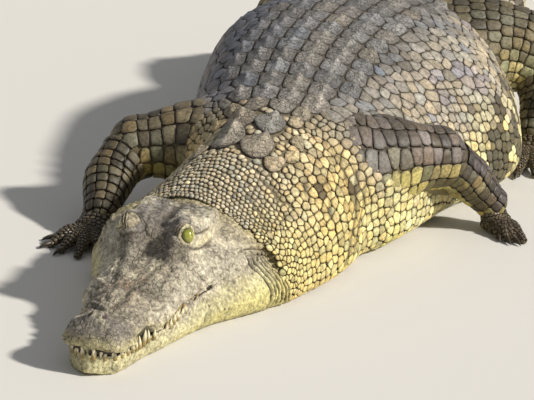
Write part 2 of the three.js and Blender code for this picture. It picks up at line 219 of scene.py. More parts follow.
body_width, body_top, body_mid, body_sag, back_power, belly_power = [curve(BODY, c) for c in range(1, 7)]
upper_width, lower_width, head_top, lower_lip, mouth_gap, head_power = [curve(HEAD, c) for c in range(1, 7)]


def upper_lip(s):
    """Height of the upper lip's edge."""
    return lower_lip(s) + mouth_gap(s)


def heading(s):
    """Turn of the spine from straight back, in radians: the sum of the soft turns passed so far."""
    return sum(deg * smooth(s, a, b) for a, b, deg in TURNS) * math.pi / 180


PLACES = np.arange(0, TOTAL + STEP, STEP)
SPINE_X = np.concatenate([[0], np.cumsum(STEP * np.sin(heading(PLACES[:-1] + STEP / 2)))])
SPINE_Y = np.concatenate([[0], np.cumsum(STEP * np.cos(heading(PLACES[:-1] + STEP / 2)))])


def place(s, x, z):
    """Point beside the spine at place s, x across and z up: spine point plus x along the cross direction."""
    s, x, z = np.broadcast_arrays(np.asarray(s, float), x, z)
    h = heading(s)
    px = np.interp(s, PLACES, SPINE_X) + x * np.cos(h)
    py = np.interp(s, PLACES, SPINE_Y) - x * np.sin(h)
    return np.stack([px, py, z], -1)


def unplace(p):
    """Inverse of place: walks s along the spine until the point lies square beside it."""
    s = np.interp(p[..., 1], SPINE_Y, PLACES)
    for _ in range(6):
        h = heading(s)
        along = (p[..., 0] - np.interp(s, PLACES, SPINE_X)) * np.sin(h)
        along = along + (p[..., 1] - np.interp(s, PLACES, SPINE_Y)) * np.cos(h)
        s = np.clip(s + along, 0, TOTAL)
    h = heading(s)
    dx = p[..., 0] - np.interp(s, PLACES, SPINE_X)
    dy = p[..., 1] - np.interp(s, PLACES, SPINE_Y)
    return s, dx * np.cos(h) - dy * np.sin(h), p[..., 2]


def metres(p):
    """Plan millimetres to the model's metres, about its own centre."""
    return (p + ORIGIN) / 1000.0


def scatter(key):
    """A steady random value between 0 and 1 for each whole number."""
    key = (key * 1103515245 + 12345) & 0x7FFFFFFF
    key = ((key >> 13) ^ key) * 60493 & 0x7FFFFFFF
    return key / 0x7FFFFFFF


def lattice_key(cell, seed):
    """One whole number for each cell of a cubic lattice."""
    return cell[..., 0] * 73856093 ^ cell[..., 1] * 19349663 ^ cell[..., 2] * 83492791 ^ seed * 2654435


def noise(p, size, seed=0):
    """Soft lumps of one size between -1 and 1: random values on a cubic lattice, blended smoothly between."""
    q = np.asarray(p, float) / size + 1000.37
    cell = np.floor(q).astype(np.int64)
    f = q - cell
    f = f * f * (3 - 2 * f)
    total = np.zeros(q.shape[:-1])
    for corner in np.ndindex(2, 2, 2):
        weight = np.prod(np.where(np.array(corner) == 1, f, 1 - f), -1)
        total += weight * (scatter(lattice_key(cell + np.array(corner), seed + 7)) * 2 - 1)
    return total


def cells(p, size, seed):
    """Irregular cells of one size, their centres jittered on a cubic lattice: how much further the second
    nearest centre is than the nearest, in cell sizes, and a random value of each cell's own."""
    q = p / size + 500.5
    base = np.floor(q).astype(np.int64)
    first, second, tag = np.full(len(q), 9.0), np.full(len(q), 9.0), np.zeros(len(q))
    for corner in np.ndindex(3, 3, 3):
        c = base + np.array(corner) - 1
        key = lattice_key(c, seed)
        spot = np.stack([scatter(key + k * 7919) for k in range(3)], -1)
        d = np.linalg.norm(q - c - spot, axis=1)
        closer = d < first
        second = np.where(closer, first, np.minimum(second, d))
        tag = np.where(closer, scatter(key + 31337), tag)
        first = np.where(closer, d, first)
    return second - first, tag


class Chart:
    """A closed tube kept as a table of points, read between rows and columns; the columns wrap round."""

    def __init__(self, points):
        self.points = points
        ahead = np.gradient(points, axis=0)
        around = (np.roll(points, -1, 1) - np.roll(points, 1, 1)) / 2
        normal = unit(np.cross(ahead, around))
        outward = points - points.mean(1, keepdims=True)
        self.normal = normal if (normal * outward).sum() > 0 else -normal
        self.ahead = np.linalg.norm(ahead, axis=-1)
        self.around = np.linalg.norm(around, axis=-1)
        self.rows, self.columns = points.shape[:2]
        self.length = np.concatenate([[0], np.cumsum(self.ahead.mean(1)[:-1])])

    def read(self, table, i, j):
        """Value of a table between its rows and columns, by straight blends both ways."""
        i = np.clip(i, 0, self.rows - 1.001)
        i0 = np.floor(i).astype(int)
        j0 = np.floor(j).astype(int)
        fi = i - i0
        fj = j - j0
        a, b = j0 % self.columns, (j0 + 1) % self.columns
        if table.ndim == 3:
            fi, fj = fi[..., None], fj[..., None]
        near = table[i0, a] * (1 - fj) + table[i0, b] * fj
        far = table[i0 + 1, a] * (1 - fj) + table[i0 + 1, b] * fj
        return near * (1 - fi) + far * fi

    def at(self, i, j, height):
        """Point of the surface, raised by height along its normal, and never below the floor."""
        p = self.read(self.points, i, j) + unit(self.read(self.normal, i, j)) * height[..., None]
        p[..., 2] = np.maximum(p[..., 2], 0)
        return p


def section(s, a):
    """Body section at angle a from the left side, up positive: a superellipse above the widest line and
    a squarer one below it, leaning over as it nears the floor."""
    c, q = np.cos(a), np.sin(a)
    top, mid = body_top(s), body_mid(s)
    over = (top - mid) * np.abs(q) ** (2 / back_power(s))
    under = -(mid + SINK) * np.abs(q) ** (2 / belly_power(s))
    z = np.maximum(mid + np.where(q > 0, over, under), 0)
    bend = 2 / np.where(q > 0, back_power(s), belly_power(s))
    return body_width(s) * signed_power(c, bend) + body_sag(s) * (1 - z / top), z


def even_ring(x, z, count):
    """Resamples rows of ring points, first to last, into count + 1 points at even distances."""
    gaps = np.hypot(np.diff(x, axis=1), np.diff(z, axis=1))
    run = np.concatenate([np.zeros((len(x), 1)), np.cumsum(gaps, 1)], 1)
    share = np.linspace(0, 1, count + 1)
    xs = np.stack([np.interp(share * r[-1], r, row) for r, row in zip(run, x)])
    zs = np.stack([np.interp(share * r[-1], r, row) for r, row in zip(run, z)])
    return xs, zs


def body_chart():
    """Body as a tube from nape to tail tip: column 0 runs along the top, the middle one under the belly."""
    s = np.arange(BODY_FRONT, TOTAL + 1, CHART_STEP)[:, None]
    halves = []
    for start in (math.pi / 2, -math.pi / 2):
        x, z = section(s, start - np.linspace(0, math.pi, 361)[None, :])
        xs, zs = even_ring(x, z, COLUMNS // 2)
        halves.append(place(s, xs[:, :-1], zs[:, :-1]))
    return Chart(np.concatenate(halves, 1))


def centripetal(points, t):
    """Smooth path through points, evenly shared in t: a centripetal spline with both ends carried on."""
    pts = np.array(points, float)
    n = len(pts)
    pts = np.vstack([2 * pts[0] - pts[1], pts, 2 * pts[-1] - pts[-2]])
    q = np.clip(np.asarray(t, float), 0, 1) * (n - 1)
    i = np.minimum(np.floor(q).astype(int), n - 2)
    w = (q - i)[..., None]
    p0, p1, p2, p3 = [pts[i + k] for k in range(4)]
    d0, d1, d2 = [
        np.maximum((((b - a) ** 2).sum(-1, keepdims=True)) ** 0.25, 1e-4)
        for a, b in ((p0, p1), (p1, p2), (p2, p3))
    ]
    t1 = ((p1 - p0) / d0 - (p2 - p0) / (d0 + d1) + (p2 - p1) / d1) * d1
    t2 = ((p2 - p1) / d1 - (p3 - p1) / (d1 + d2) + (p3 - p2) / d2) * d1
    c2 = -3 * p1 + 3 * p2 - 2 * t1 - t2
    c3 = 2 * p1 - 2 * p2 + t1 + t2
    return p1 + t1 * w + c2 * w * w + c3 * w**3


def tube_path(points, t):
    """Centre, direction and radius along a limb: spline through the joints, radius eased between them."""
    pts = np.array(points, float)
    centre = centripetal(pts[:, :3], t)
    after = centripetal(pts[:, :3], np.minimum(t + 1e-3, 1))
    ahead = unit(after - centripetal(pts[:, :3], np.maximum(t - 1e-3, 0)))
    q = np.clip(t, 0, 1) * (len(pts) - 1)
    i = np.minimum(np.floor(q).astype(int), len(pts) - 2)
    f = smooth(q - i, 0, 1)
    return centre, ahead, pts[i, 3] * (1 - f) + pts[i + 1, 3] * f


def tube_chart(points, rows, columns, squash=1.0, cap=True):
    """Limb as a tube round its path, its far end rounded over like a thumb."""
    t = np.linspace(0, 1, rows)
    centre, ahead, r = tube_path(points, t)
    if cap:
        turn = np.linspace(0.15, 1.5, max(rows // 5, 5))
        last = r[-1]
        centre = np.vstack([centre, centre[-1] + ahead[-1] * (last * np.sin(turn) * 0.8)[:, None]])
        ahead = np.vstack([ahead, np.repeat(ahead[-1:], len(turn), 0)])
        r = np.concatenate([r, last * np.cos(turn)])
    across = unit(np.stack([-ahead[:, 1], ahead[:, 0], np.zeros(len(ahead))], -1))
    over = np.cross(ahead, across)
    a = full_turn(columns)
    ring = across[:, None] * np.cos(a)[None, :, None] + over[:, None] * (squash * np.sin(a))[None, :, None]
    p = centre[:, None] + ring * r[:, None, None]
    p[..., 2] = np.maximum(p[..., 2], 0)
    return Chart(p)


def tube_depth(p, points, samples=28):
    """Distance outside a limb's tube, below nought inside it: nearest of many balls along its path."""
    centre, _, r = tube_path(points, np.linspace(0, 1, samples))
    best = np.full(p.shape[:-1], 1e9)
    for c, radius in zip(centre, r):
        best = np.minimum(best, np.linalg.norm(p - c, axis=-1) - radius)
    return best


def body_depth(p):
    """Distance outside the body, below nought inside it, measured along the line from its middle."""
    s, x, z = unplace(p)
    top, mid = body_top(s), body_mid(s)
    x = x - body_sag(s) * (1 - z / top)
    high = z > mid
    tall = np.where(high, top - mid, mid + SINK)
    n = np.where(high, back_power(s), belly_power(s))
    rise = np.abs(z - mid)
    gauge = ((np.abs(x) / body_width(s)) ** n + (rise / tall) ** n) ** (1 / n)
    far = np.hypot(x, z - mid) * (1 - 1 / np.maximum(gauge, 0.05))
    return np.where((s > BODY_FRONT + 1) & (s < TOTAL - 1), far, 1e3)


def digit_angle(limb, k):
    """Direction of digit k on the floor."""
    return math.radians(limb["way"] + FAN[k] * limb["spread"])


def digit_paths(limb):
    """Paths of a foot's digits: from the palm up over the knuckle and down to the floor."""
    px, py, pz, wide, _ = limb["palm"]
    paths = []
    for k, length in enumerate(limb["digits"]):
        a = digit_angle(limb, k)
        end = length - CLAW_LENGTH if k < CLAW_COUNT else length
        at = [(wide * 0.2, pz, DIGIT_RADIUS), (end * 0.62, DIGIT_RADIUS + KNUCKLE_RISE, DIGIT_RADIUS)]
        at.append((end, DIGIT_RADIUS * 0.55, DIGIT_RADIUS * 0.62))
        paths.append([[px + math.cos(a) * d, py + math.sin(a) * d, z, r] for d, z, r in at])
    return paths


def palm_path(limb):
    """Path of a foot's palm, from the wrist to the knuckles."""
    px, py, pz, wide, deep = limb["palm"]
    a = digit_angle(limb, 2)
    wx, wy, wz, _ = limb["lower"][-1]
    front = [px + wide * 0.45 * math.cos(a), py + wide * 0.45 * math.sin(a), pz * 0.68, wide * 0.72]
    return [[wx, wy, wz, deep * 1.25], [px, py, pz, wide], front]


BODY_CHART = body_chart()
TUBES = {f"{name}_{part}": limb[part] for name, limb in LIMBS.items() for part in ("upper", "lower")}
CHARTS = {name: tube_chart(points, 70, 96) for name, points in TUBES.items()}
# Reach of the fillet between two parts: body and upper limb, body and any other, two limb parts, foot.
JOIN_BODY = 70.0
JOIN_NEAR = 12.0
JOIN_LIMB = 34.0
JOIN_FOOT = 20.0


def swell(name, p):
    """How far a surface fills out where it meets another: the square of what is left of the joining
    width, over four widths. Also gives the least distance outside the others."""
    if name == "body":
        others = [(tube_depth(p, TUBES[k]), JOIN_BODY) for k in TUBES if k.endswith("upper")]
    else:
        base, part = name.rsplit("_", 1)
        mate = base + ("_lower" if part != "lower" else "_upper")
        others = [
            (body_depth(p), JOIN_BODY if part == "upper" else JOIN_NEAR),
            (tube_depth(p, TUBES[mate]), JOIN_FOOT if part == "foot" else JOIN_LIMB),
        ]
    out = np.zeros(p.shape[:-1])
    least = np.full(p.shape[:-1], 1e9)
    for d, k in others:
        out += np.maximum(k - np.abs(d), 0) ** 2 / (4 * k)
        least = np.minimum(least, d)
    return out, least


SEED = np.dtype(
    [(name, float) for name in ("i", "j", "r", "h", "keel", "tilt", "long", "square", "gap", "cap", "kind")]
)
NAPE, SIDE, FLANK, BELLY, SCUTE, NUCHAL, TAIL = range(7)


def sow(i, j, **values):
    """Seeds of scales at rows i and columns j of a chart, all other values shared or given one by one."""
    seeds = np.zeros(len(np.atleast_1d(i)), SEED)
    seeds["i"] = i
    seeds["j"] = j
    seeds["long"] = 1
    seeds["square"] = 10
    seeds["gap"] = 1.6
    seeds["cap"] = 1.4
    for name, value in values.items():
        seeds[name] = value
    return seeds


def bands(chart, first, last, row_gap, column_gap, rng, stagger=0.5, jitter=0.12, fixed=False):
    """Rows of seeds round a tube between two lengths along it: every row is spaced evenly round the tube,
    every second one is shifted by a share of a scale, and each seed strays a little; fixed rows all hold
    the same number."""
    start = chart.length[0] + first
    out_i, out_j, size = [], [], []
    at = start
    row = 0
    while at < last:
        gap = row_gap(at) if callable(row_gap) else row_gap
        wide = column_gap(at) if callable(column_gap) else column_gap
        i = np.interp(at, chart.length, np.arange(chart.rows))
        girth = np.median(chart.around.sum(1)) if fixed else chart.around[int(round(i))].sum()
        count = max(int(round(girth / wide)), 5)
        j = (np.arange(count) + 0.5 * (row % 2) * (stagger * 2)) / count * chart.columns
        stray = rng.uniform(-1, 1, count) * jitter * gap / chart.ahead[int(i)].mean()
        out_i.append(np.full(count, i) + stray)
        out_j.append(j + rng.uniform(-1, 1, count) * jitter * chart.columns / count)
        size.append(np.full(count, (gap + wide) / 4))
        at += gap
        row += 1
    return np.concatenate(out_i), np.concatenate(out_j) % chart.columns, np.concatenate(size)


def wrapped(d, columns):
    """Difference of two columns the short way round."""
    return (d + columns / 2) % columns - columns / 2


def thin_out(chart, small, big, share=0.82):
    """Drops small seeds that lie within the reach of the big ones."""
    if not len(big) or not len(small):
        return small
    li = chart.read(chart.ahead, small["i"], small["j"])
    lj = chart.read(chart.around, small["i"], small["j"])
    dx = (small["i"][:, None] - big["i"]) * li[:, None] / big["long"]
    dy = wrapped(small["j"][:, None] - big["j"], chart.columns) * lj[:, None]
    near = np.hypot(dx, dy) < big["r"] * share + small["r"][:, None] * 0.55
    return small[~near.any(1)]


def cell_outline(chart, seeds, everyone, angles):
    """Outline of each scale: in every direction the nearest of the border lines with its neighbours, each
    halfway by weight, blended softly so that corners are round; the scale's own radius caps it."""
    li = chart.read(chart.ahead, seeds["i"], seeds["j"])
    lj = chart.read(chart.around, seeds["i"], seeds["j"])
    turn = full_turn(angles)
    keep = 10
    reach = np.empty((len(seeds), angles))
    for a in range(0, len(seeds), 400):
        part = slice(a, a + 400)
        mine = seeds[part]
        dx = (everyone["i"] - mine["i"][:, None]) * li[part, None] / mine["long"][:, None]
        dy = wrapped(everyone["j"] - mine["j"][:, None], chart.columns) * lj[part, None]
        d = np.hypot(dx, dy)
        d[d < 0.5] = 1e6
        pick = np.argpartition(d, keep, axis=1)[:, :keep]
        d = np.take_along_axis(d, pick, 1)
        phi = np.arctan2(np.take_along_axis(dy, pick, 1), np.take_along_axis(dx, pick, 1))
        weight = everyone["r"][pick]
        border = (d * d + mine["r"][:, None] ** 2 - weight**2) / (2 * d)
        border = np.maximum(border, 0.18 * d)
        facing = np.maximum(np.cos(turn[None, None] - phi[..., None]), 0)
        power = mine["square"][:, None]
        pull = ((facing / border[..., None]) ** power[..., None]).sum(1)
        cap = (1 / (mine["r"] * mine["cap"])[:, None]) ** power
        reach[part] = (pull + cap) ** (-1 / power)
    return turn, reach, li, lj


# Shape of a scale from its rim inwards: (share of its reach, share of its height).
PROFILE = np.array([[1.0, -0.35], [0.985, 0.5], [0.9, 0.84], [0.62, 0.97], [0.28, 1.0]])
DOME_PROFILE = np.array([[1.0, -0.35], [0.96, 0.4], [0.8, 0.78], [0.45, 0.97]])
FINE_PROFILE = np.array([
    [1.0, -0.35], [0.985, 0.45], [0.93, 0.76], [0.82, 0.9], [0.64, 0.97], [0.46, 1.0], [0.26, 1.0],
    [0.1, 1.0],
])


# Deep creases of the neck and armpit, (place, side, height) down each side.
CREASES = [
    [(1006, 172, 236), (958, 213, 162), (905, 231, 95), (885, 236, 35)],
    [(1028, 196, 226), (984, 228, 154), (934, 243, 88), (910, 247, 30)],
    [(1040, 216, 206), (1006, 240, 140), (962, 252, 80), (938, 255, 25)],
    [(960, 130, 270), (935, 172, 238), (893, 206, 170), (858, 222, 90)],
    [(890, 112, 258), (872, 160, 216), (842, 194, 150), (815, 208, 80)],
    [(800, 98, 236), (793, 150, 192), (768, 184, 130), (748, 200, 60)],
    [(728, 100, 208), (716, 150, 166), (700, 180, 114), (688, 200, 50)],
]


def furrows(p):
    """How deep in a crease each point lies, 1 in its middle."""
    q = np.stack(unplace(p), -1)
    q[:, 1] = np.abs(q[:, 1])
    q = q + 5 * noise(p, 26, 91)[:, None]
    out = np.zeros(len(q))
    near = np.flatnonzero((q[:, 0] < 1070) & (q[:, 1] > 80))
    for line in CREASES:
        out[near] = np.maximum(out[near], bell(near_line(q[near], line) / 6.5))
    return out


def scales(chart, name, seeds, everyone, rng, tone, coat, angles=12, profile=PROFILE):
    """Closed, crowned scales on a chart: each is a set of rings drawn in from its outline, raised by the
    profile, by a keel that grows towards the back, and by a tilt that lifts its back edge. Its tone is
    lightened along the keel as a painted highlight and darkened towards the rim and in the neck creases
    as painted shade; its edge value sets the material's painted shade at the rim."""
    turn, reach, li, lj = cell_outline(chart, seeds, everyone, angles)
    root = chart.at(seeds["i"], seeds["j"], np.zeros(len(seeds)))
    keep = swell(name, root)[1] > -6.0
    seeds, reach, li, lj, root = [values[keep] for values in (seeds, reach, li, lj, root)]
    reach = np.maximum(reach - seeds["gap"][:, None] / 2, 1.2)
    rings = len(profile)
    rho = profile[:, 0][None, :, None]
    rise = profile[:, 1][None, :, None]
    x = reach[:, None] * rho * np.cos(turn)
    y = reach[:, None] * rho * np.sin(turn)
    r = seeds["r"][:, None, None]
    height = seeds["h"][:, None, None] * rise
    solid = np.clip(rise + 0.35, 0, 1)
    ramp = np.clip(0.5 + x / (2 * r), 0, 1.1)
    height = height + seeds["tilt"][:, None, None] * ramp * solid * (rho > 0)
    ridge = bell(y / (0.24 * r + 1)) * smooth(1.0 - rho, 0, 0.26)
    ridge = ridge * (0.12 + 0.88 * ramp**2)
    height = height + seeds["keel"][:, None, None] * ridge * solid
    # Painted highlight along the keel and painted shade towards the rim.
    painted_light_and_shade = 1 + 0.045 * seeds["keel"][:, None, None] * ridge - 0.3 * smooth(rho, 0.6, 1.0)

    def capped(table, crown=0.0, under=0.0):
        ends = np.stack([np.broadcast_to(end, len(seeds)) for end in (crown, under)], 1)
        return np.concatenate([table.reshape(len(seeds), -1), ends], 1)

    x, y, painted_light_and_shade = capped(x), capped(y), capped(painted_light_and_shade, 1.0, 1.0)
    crown = seeds["h"] + 0.5 * seeds["tilt"] + 0.34 * seeds["keel"]
    height = capped(height, crown, -0.5 * seeds["h"])
    i = seeds["i"][:, None] + x * seeds["long"][:, None] / li[:, None]
    j = seeds["j"][:, None] + y / lj[:, None]
    level = height - (coat(seeds["i"])[:, None] if callable(coat) else coat)
    base = chart.at(i, j, np.zeros_like(i))
    level = level + swell(name, base)[0]
    lump = noise(base, 7.0, 3) * 0.35 + noise(base, 3.0, 5) * 0.2
    level = level + lump * np.minimum(seeds["h"] / 4, 1)[:, None]
    p = chart.at(i, j, level)
    count = rings * angles + 2
    k = np.arange(angles)
    nxt = (k + 1) % angles
    quads = []
    for ring in range(rings - 1):
        a, b = ring * angles, (ring + 1) * angles
        quads.append(np.stack([a + k, a + nxt, b + nxt, b + k], -1))
    fan = np.stack([(rings - 1) * angles + k, (rings - 1) * angles + nxt, np.full(angles, count - 2)], -1)
    under = np.stack([nxt, k, np.full(angles, count - 1)], -1)
    shift = (np.arange(len(seeds)) * count)[:, None, None]
    quads = (np.concatenate(quads)[None] + shift).reshape(-1, 4)
    tris = (np.concatenate([fan, under])[None] + shift).reshape(-1, 3)
    if name == "body":
        furrow = furrows(p.reshape(-1, 3)).reshape(level.shape)
        p = chart.at(i, j, level - 2.6 * furrow)
        # Painted shade in the neck creases.
        painted_light_and_shade = painted_light_and_shade * (1 - 0.72 * furrow)
    tint = tone(seeds, root, rng)
    # Edge value for the material's painted shade: 1 at the rim and under the scale, nought over the crown.
    shade = np.concatenate([np.repeat(smooth(profile[:, 0], 0.9, 1.0), angles), [0.0, 1.0]])
    uv_x = (x / reach.max(1)[:, None]) * 0.0015
    uv_y = (y / reach.max(1)[:, None]) * 0.0015
    return {
        "points": p.reshape(-1, 3),
        "quads": quads,
        "tris": tris,
        "tone": np.repeat(tint, count, 0) * painted_light_and_shade.reshape(-1, 1),
        "edge": np.tile(shade, len(seeds)),
        "uv": np.stack([
            (seeds["i"][:, None] / chart.rows + uv_x).ravel(),
            (seeds["j"][:, None] / chart.columns % 1.0 + uv_y).ravel(),
        ], -1),
    }


def fit_map(parts):
    """Spreads the root map of each part over its own share of the unit square, patches kept at one size."""
    n = len(parts)
    across = int(math.ceil(math.sqrt(n)))
    for k, part in enumerate(parts):
        uv = part["uv"]
        lo, hi = uv.min(0), uv.max(0)
        span = np.maximum(hi - lo, 1e-6)
        cell = np.array([k % across, k // across]) / across
        part["uv"] = cell + (uv - lo) / span * (0.98 / across) + 0.005 / across
    return parts


def merged(parts):
    """Several surfaces as one set of points and faces, with the values that the first of them carries."""
    starts = np.concatenate([[0], np.cumsum([len(part["points"]) for part in parts])])
    keys = [key for key in ("points", "tone", "edge", "uv") if key in parts[0]]
    out = {key: np.concatenate([part[key] for part in parts]) for key in keys}
    for key in ("quads", "tris"):
        out[key] = np.concatenate([part[key] + start for part, start in zip(parts, starts)])
    return out


def linked(name, data):
    """New object in the scene for a mesh, light or camera."""
    item = bpy.data.objects.new(name, data)
    bpy.context.scene.collection.objects.link(item)
    return item


def values_of(items, key, shape=(), kind=int):
    """One value of every item of a mesh list as an array."""
    out = np.empty((len(items),) + shape, kind)
    items.foreach_get(key, out.ravel())
    return out


def make_piece(name, part, material, nodes=()):
    """Writes points and faces into a mesh with its colours, and hangs it on the body."""
    mesh = bpy.data.meshes.new(name)
    points = metres(part["points"])
    quads, tris = part["quads"], part["tris"]
    loops = np.concatenate([quads.ravel(), tris.ravel()]).astype(np.int32)
    totals = np.concatenate([np.full(len(quads), 4), np.full(len(tris), 3)]).astype(np.int32)
    starts = np.concatenate([[0], np.cumsum(totals)[:-1]]).astype(np.int32)
    mesh.vertices.add(len(points))
    mesh.vertices.foreach_set("co", points.astype(np.float32).ravel())
    mesh.loops.add(len(loops))
    mesh.loops.foreach_set("vertex_index", loops)
    mesh.polygons.add(len(totals))
    mesh.polygons.foreach_set("loop_start", starts)
    mesh.polygons.foreach_set("loop_total", totals)
    mesh.polygons.foreach_set("use_smooth", np.ones(len(totals), bool))
    mesh.update(calc_edges=True)
    colour = mesh.attributes.new("tone", "FLOAT_COLOR", "POINT")
    rgba = np.concatenate([part["tone"], np.ones((len(points), 1))], 1)
    colour.data.foreach_set("color", rgba.astype(np.float32).ravel())
    edge = mesh.attributes.new("edge", "FLOAT", "POINT")
    edge.data.foreach_set("value", part["edge"].astype(np.float32))
    if "uv" in part:
        layer = mesh.uv_layers.new(name="OFBake")
        layer.data.foreach_set("uv", part["uv"][loops].astype(np.float32).ravel())
    mesh.validate()
    piece = linked(name, mesh)
    mesh.materials.append(material)
    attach(piece, "root")
    if nodes:
        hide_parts(*nodes)
    return piece


def linear(code):
    """Screen colour code to linear light."""
    v = np.array([int(code[k : k + 2], 16) for k in (0, 2, 4)]) / 255
    return np.where(v <= 0.04045, v / 12.92, ((v + 0.055) / 1.055) ** 2.4)


def blend(a, b, share):
    """Mixes two colours, or sets of them, by share; either may be the name of a tone or a screen code."""
    a, b = [linear(TONES.get(v, v)) if isinstance(v, str) else np.asarray(v) for v in (a, b)]
    share = np.asarray(share, float)[..., None]
    return a * (1 - share) + b * share


def painted(colour, *layers):
    """A colour with each layer (tone, share) laid over it in turn."""
    for tone, share in layers:
        colour = blend(colour, tone, share)
    return colour


TONES = {
    "snout": "8d8575",
    "crown": "857f78",
    "jaw": "bcb48b",
    "lip": "c6bb84",
    "nape": "b9ad93",
    "neck": "cab97c",
    "shoulder": "bea467",
    "shield": "7f7c79",
    # Blue-grey of painted shade, laid over the right side of the body.
    "shade": "636570",
    "flank": "a19786",
    "cream": "d2c68e",
    "belly": "d6c969",
    "blotch": "3a3224",
    "groove": "4a3d29",
    "limb": "a09368",
    "plate": "6f655e",
    "forearm": "463c3a",
    "thigh": "665d47",
    "under": "c0b684",
    "elbow": "b4a55f",
    "hand": "574a38",
    "lilac": "8d8796",
}


# Large dark blotches low on the left flank and small ones on the shoulder: (place, side, height, reach).
BLOTCHES = [
    (1649, 439, 130, 48), (1770, 449, 139, 38), (1590, 430, 215, 24), (1850, 440, 190, 34),
    (1480, 420, 95, 30), (1720, 420, 225, 26), (895, 184, 191, 17), (988, 219, 168, 21),
    (1010, 196, 196, 13),
]


def body_share(j):
    """How far round the body a column lies: 0 along the top, 1 under the belly."""
    return np.abs(wrapped(np.asarray(j, float), COLUMNS)) / (COLUMNS / 2)


def body_markings(p, s, v):
    """Colours of neck, trunk and tail: grey shield, beige flank, cream side and yellow belly by how far
    round the point lies, with the right side darkened towards a blue-grey as painted shade; tan nape and
    cream neck in front; dark blotches low on the flank and bands on the tail, both broken by soft lumps."""
    wander = noise(p, 90, 11) * 0.07 + noise(p, 35, 12) * 0.04
    u = v + wander
    _, across, _ = unplace(p)
    # Painted shade: rises across the right side of the body, darkening the shield and holding back the flank
    # tone.
    dim = smooth(-across, -30, 170)
    under = smooth(u, 0.62, 0.82)
    front = 1 - smooth(s + noise(p, 60, 4) * 40, 960, 1120)
    neck = painted("nape", ("neck", smooth(u, 0.2, 0.5)), ("belly", 0.5 * under))
    tail = smooth(s, 2180, 2500)
    colour = painted(
        "shield",
        ("shade", 0.8 * dim),
        ("flank", smooth(u, 0.2, 0.34) * (1 - 0.7 * dim)),
        ("cream", smooth(u, 0.4, 0.6)),
        ("belly", under),
        (neck, front),
        ("shoulder", 0.75 * bell((s - 950) / 120, (u - 0.32) / 0.2)),
        (blend("flank", "under", smooth(u, 0.25, 0.8)), tail * 0.6),
    )
    stretched = p * np.array([1.0, 1.0, 0.45])
    spots = noise(stretched, 62, 21) + 0.45 * noise(stretched, 24, 22)
    low = smooth(u, 0.38, 0.52) * (1 - smooth(u, 0.86, 0.97)) * smooth(s, 1440, 1640) * (1 - tail)
    speckle = 0.3 * (1 - smooth(u, 0.3, 0.6)) * smooth(s, 1050, 1300)
    dark = smooth(spots, 0.2, 0.36) * low + smooth(spots, 0.42, 0.7) * speckle
    ring = np.sin(s * (2 * math.pi / 205) + noise(p, 80, 9) * 1.7)
    dark = dark + smooth(ring + 0.5 * noise(p, 30, 8), 0.25, 0.7) * tail * (0.9 - 0.5 * smooth(u, 0.7, 1))
    for at, across, high, reach in BLOTCHES:
        gap = (p - place(at, across, high)) / np.array([reach, reach, reach * 1.5])
        ragged = np.linalg.norm(gap, axis=-1) + 0.4 * noise(p, 26, 23)
        dark = np.maximum(dark, 1 - smooth(ragged, 0.8, 1.15))
    lilac = smooth(noise(p, 40, 24), 0.25, 0.55) * smooth(u, 0.22, 0.34) * (1 - smooth(u, 0.5, 0.62))
    return painted(colour, ("lilac", 0.5 * (lilac * (1 - front))), ("blotch", np.clip(dark, 0, 1) * 0.9))


def limb_markings(name, p, up):
    """Colours of a limb: grey plates on top, olive sides, yellow-green underside, dark blotches; the hands
    and feet are dark and wet."""
    part = name.rsplit("_", 1)[1]
    up = up + 0.12 * np.sin(p[..., 1] / 21)
    low, high = (-0.55, 0.15) if part == "lower" else (-0.1, 0.6)
    if name == "fore_left_upper":
        low, high = -0.45, 0.35
    top = smooth(up + 0.35 * noise(p, 50, 31), low, high)
    pale = "elbow" if "fore" in name else "under"
    colour = blend(pale, "limb", smooth(up + 0.3 * noise(p, 40, 33), -0.7, 0.1))
    plate = {"upper": "plate", "lower": "forearm", "foot": "forearm"}[part] if "fore" in name else "thigh"
    left = 1.0 if "left" in name else 0.6
    colour = blend(colour, plate, top * left)
    spots = noise(p, 42, 41) + 0.5 * noise(p, 17, 42)
    amount = {"upper": 0.72, "lower": 0.85, "foot": 0.4}[part]
    dark = smooth(spots, 0.06, 0.26) * amount
    colour = blend(colour, "blotch", dark)
    if part == "foot":
        colour = blend(colour, "hand", 0.8)
    return colour


def varied(colour, rng, spread=0.15):
    """Each scale a little lighter or darker, and a little warmer or cooler, than its neighbours."""
    n = len(colour)
    light = np.exp(rng.normal(0, 1, n) * spread)[:, None]
    warm = (rng.normal(0, 0.35, n) * spread)[:, None] * np.array([1.0, 0.2, -1.0])
    return np.clip(colour * light * (1 + warm), 0, 1)


def body_tone(seeds, root, rng):
    """Colour of each body scale, from the markings at its root."""
    s = BODY_FRONT + CHART_STEP * seeds["i"]
    colour = body_markings(root, s, body_share(seeds["j"]))
    scute = np.isin(seeds["kind"], (SCUTE, NUCHAL)) * smooth(seeds["r"], 14, 26)
    nuchal = seeds["kind"] == NUCHAL
    colour = painted(colour, ("87817a", 0.8 * scute * nuchal), ("shield", 0.45 * scute * ~nuchal))
    return varied(colour, rng, np.where(seeds["kind"] == TAIL, 0.07, 0.15))


# Single plates of the nape: (place, across, length, width, height, keel).
NAPE_PLATES = [
    (874, 28, 50, 37, 7, 13), (888, -56, 52, 38, 7, 14), (968, 16, 44, 34, 6, 14), (982, -62, 46, 36, 6, 13),
    (852, 88, 27, 22, 6, 8), (842, -116, 27, 22, 6, 8), (905, 104, 19, 16, 5, 6), (915, -122, 20, 17, 5, 6),
    (946, 92, 21, 17, 6, 5), (1006, 66, 22, 18, 6, 5), (1048, -38, 24, 26, 5, 7), (1048, 20, 24, 26, 5, 7),
    (985, -124, 20, 17, 6, 4), (1038, -96, 22, 22, 5, 6), (1040, 72, 22, 20, 5, 6),
]
SCUTES_FIRST = 1106.0
SCUTES_LAST = 2335.0
SCUTE_ROW = 70.0


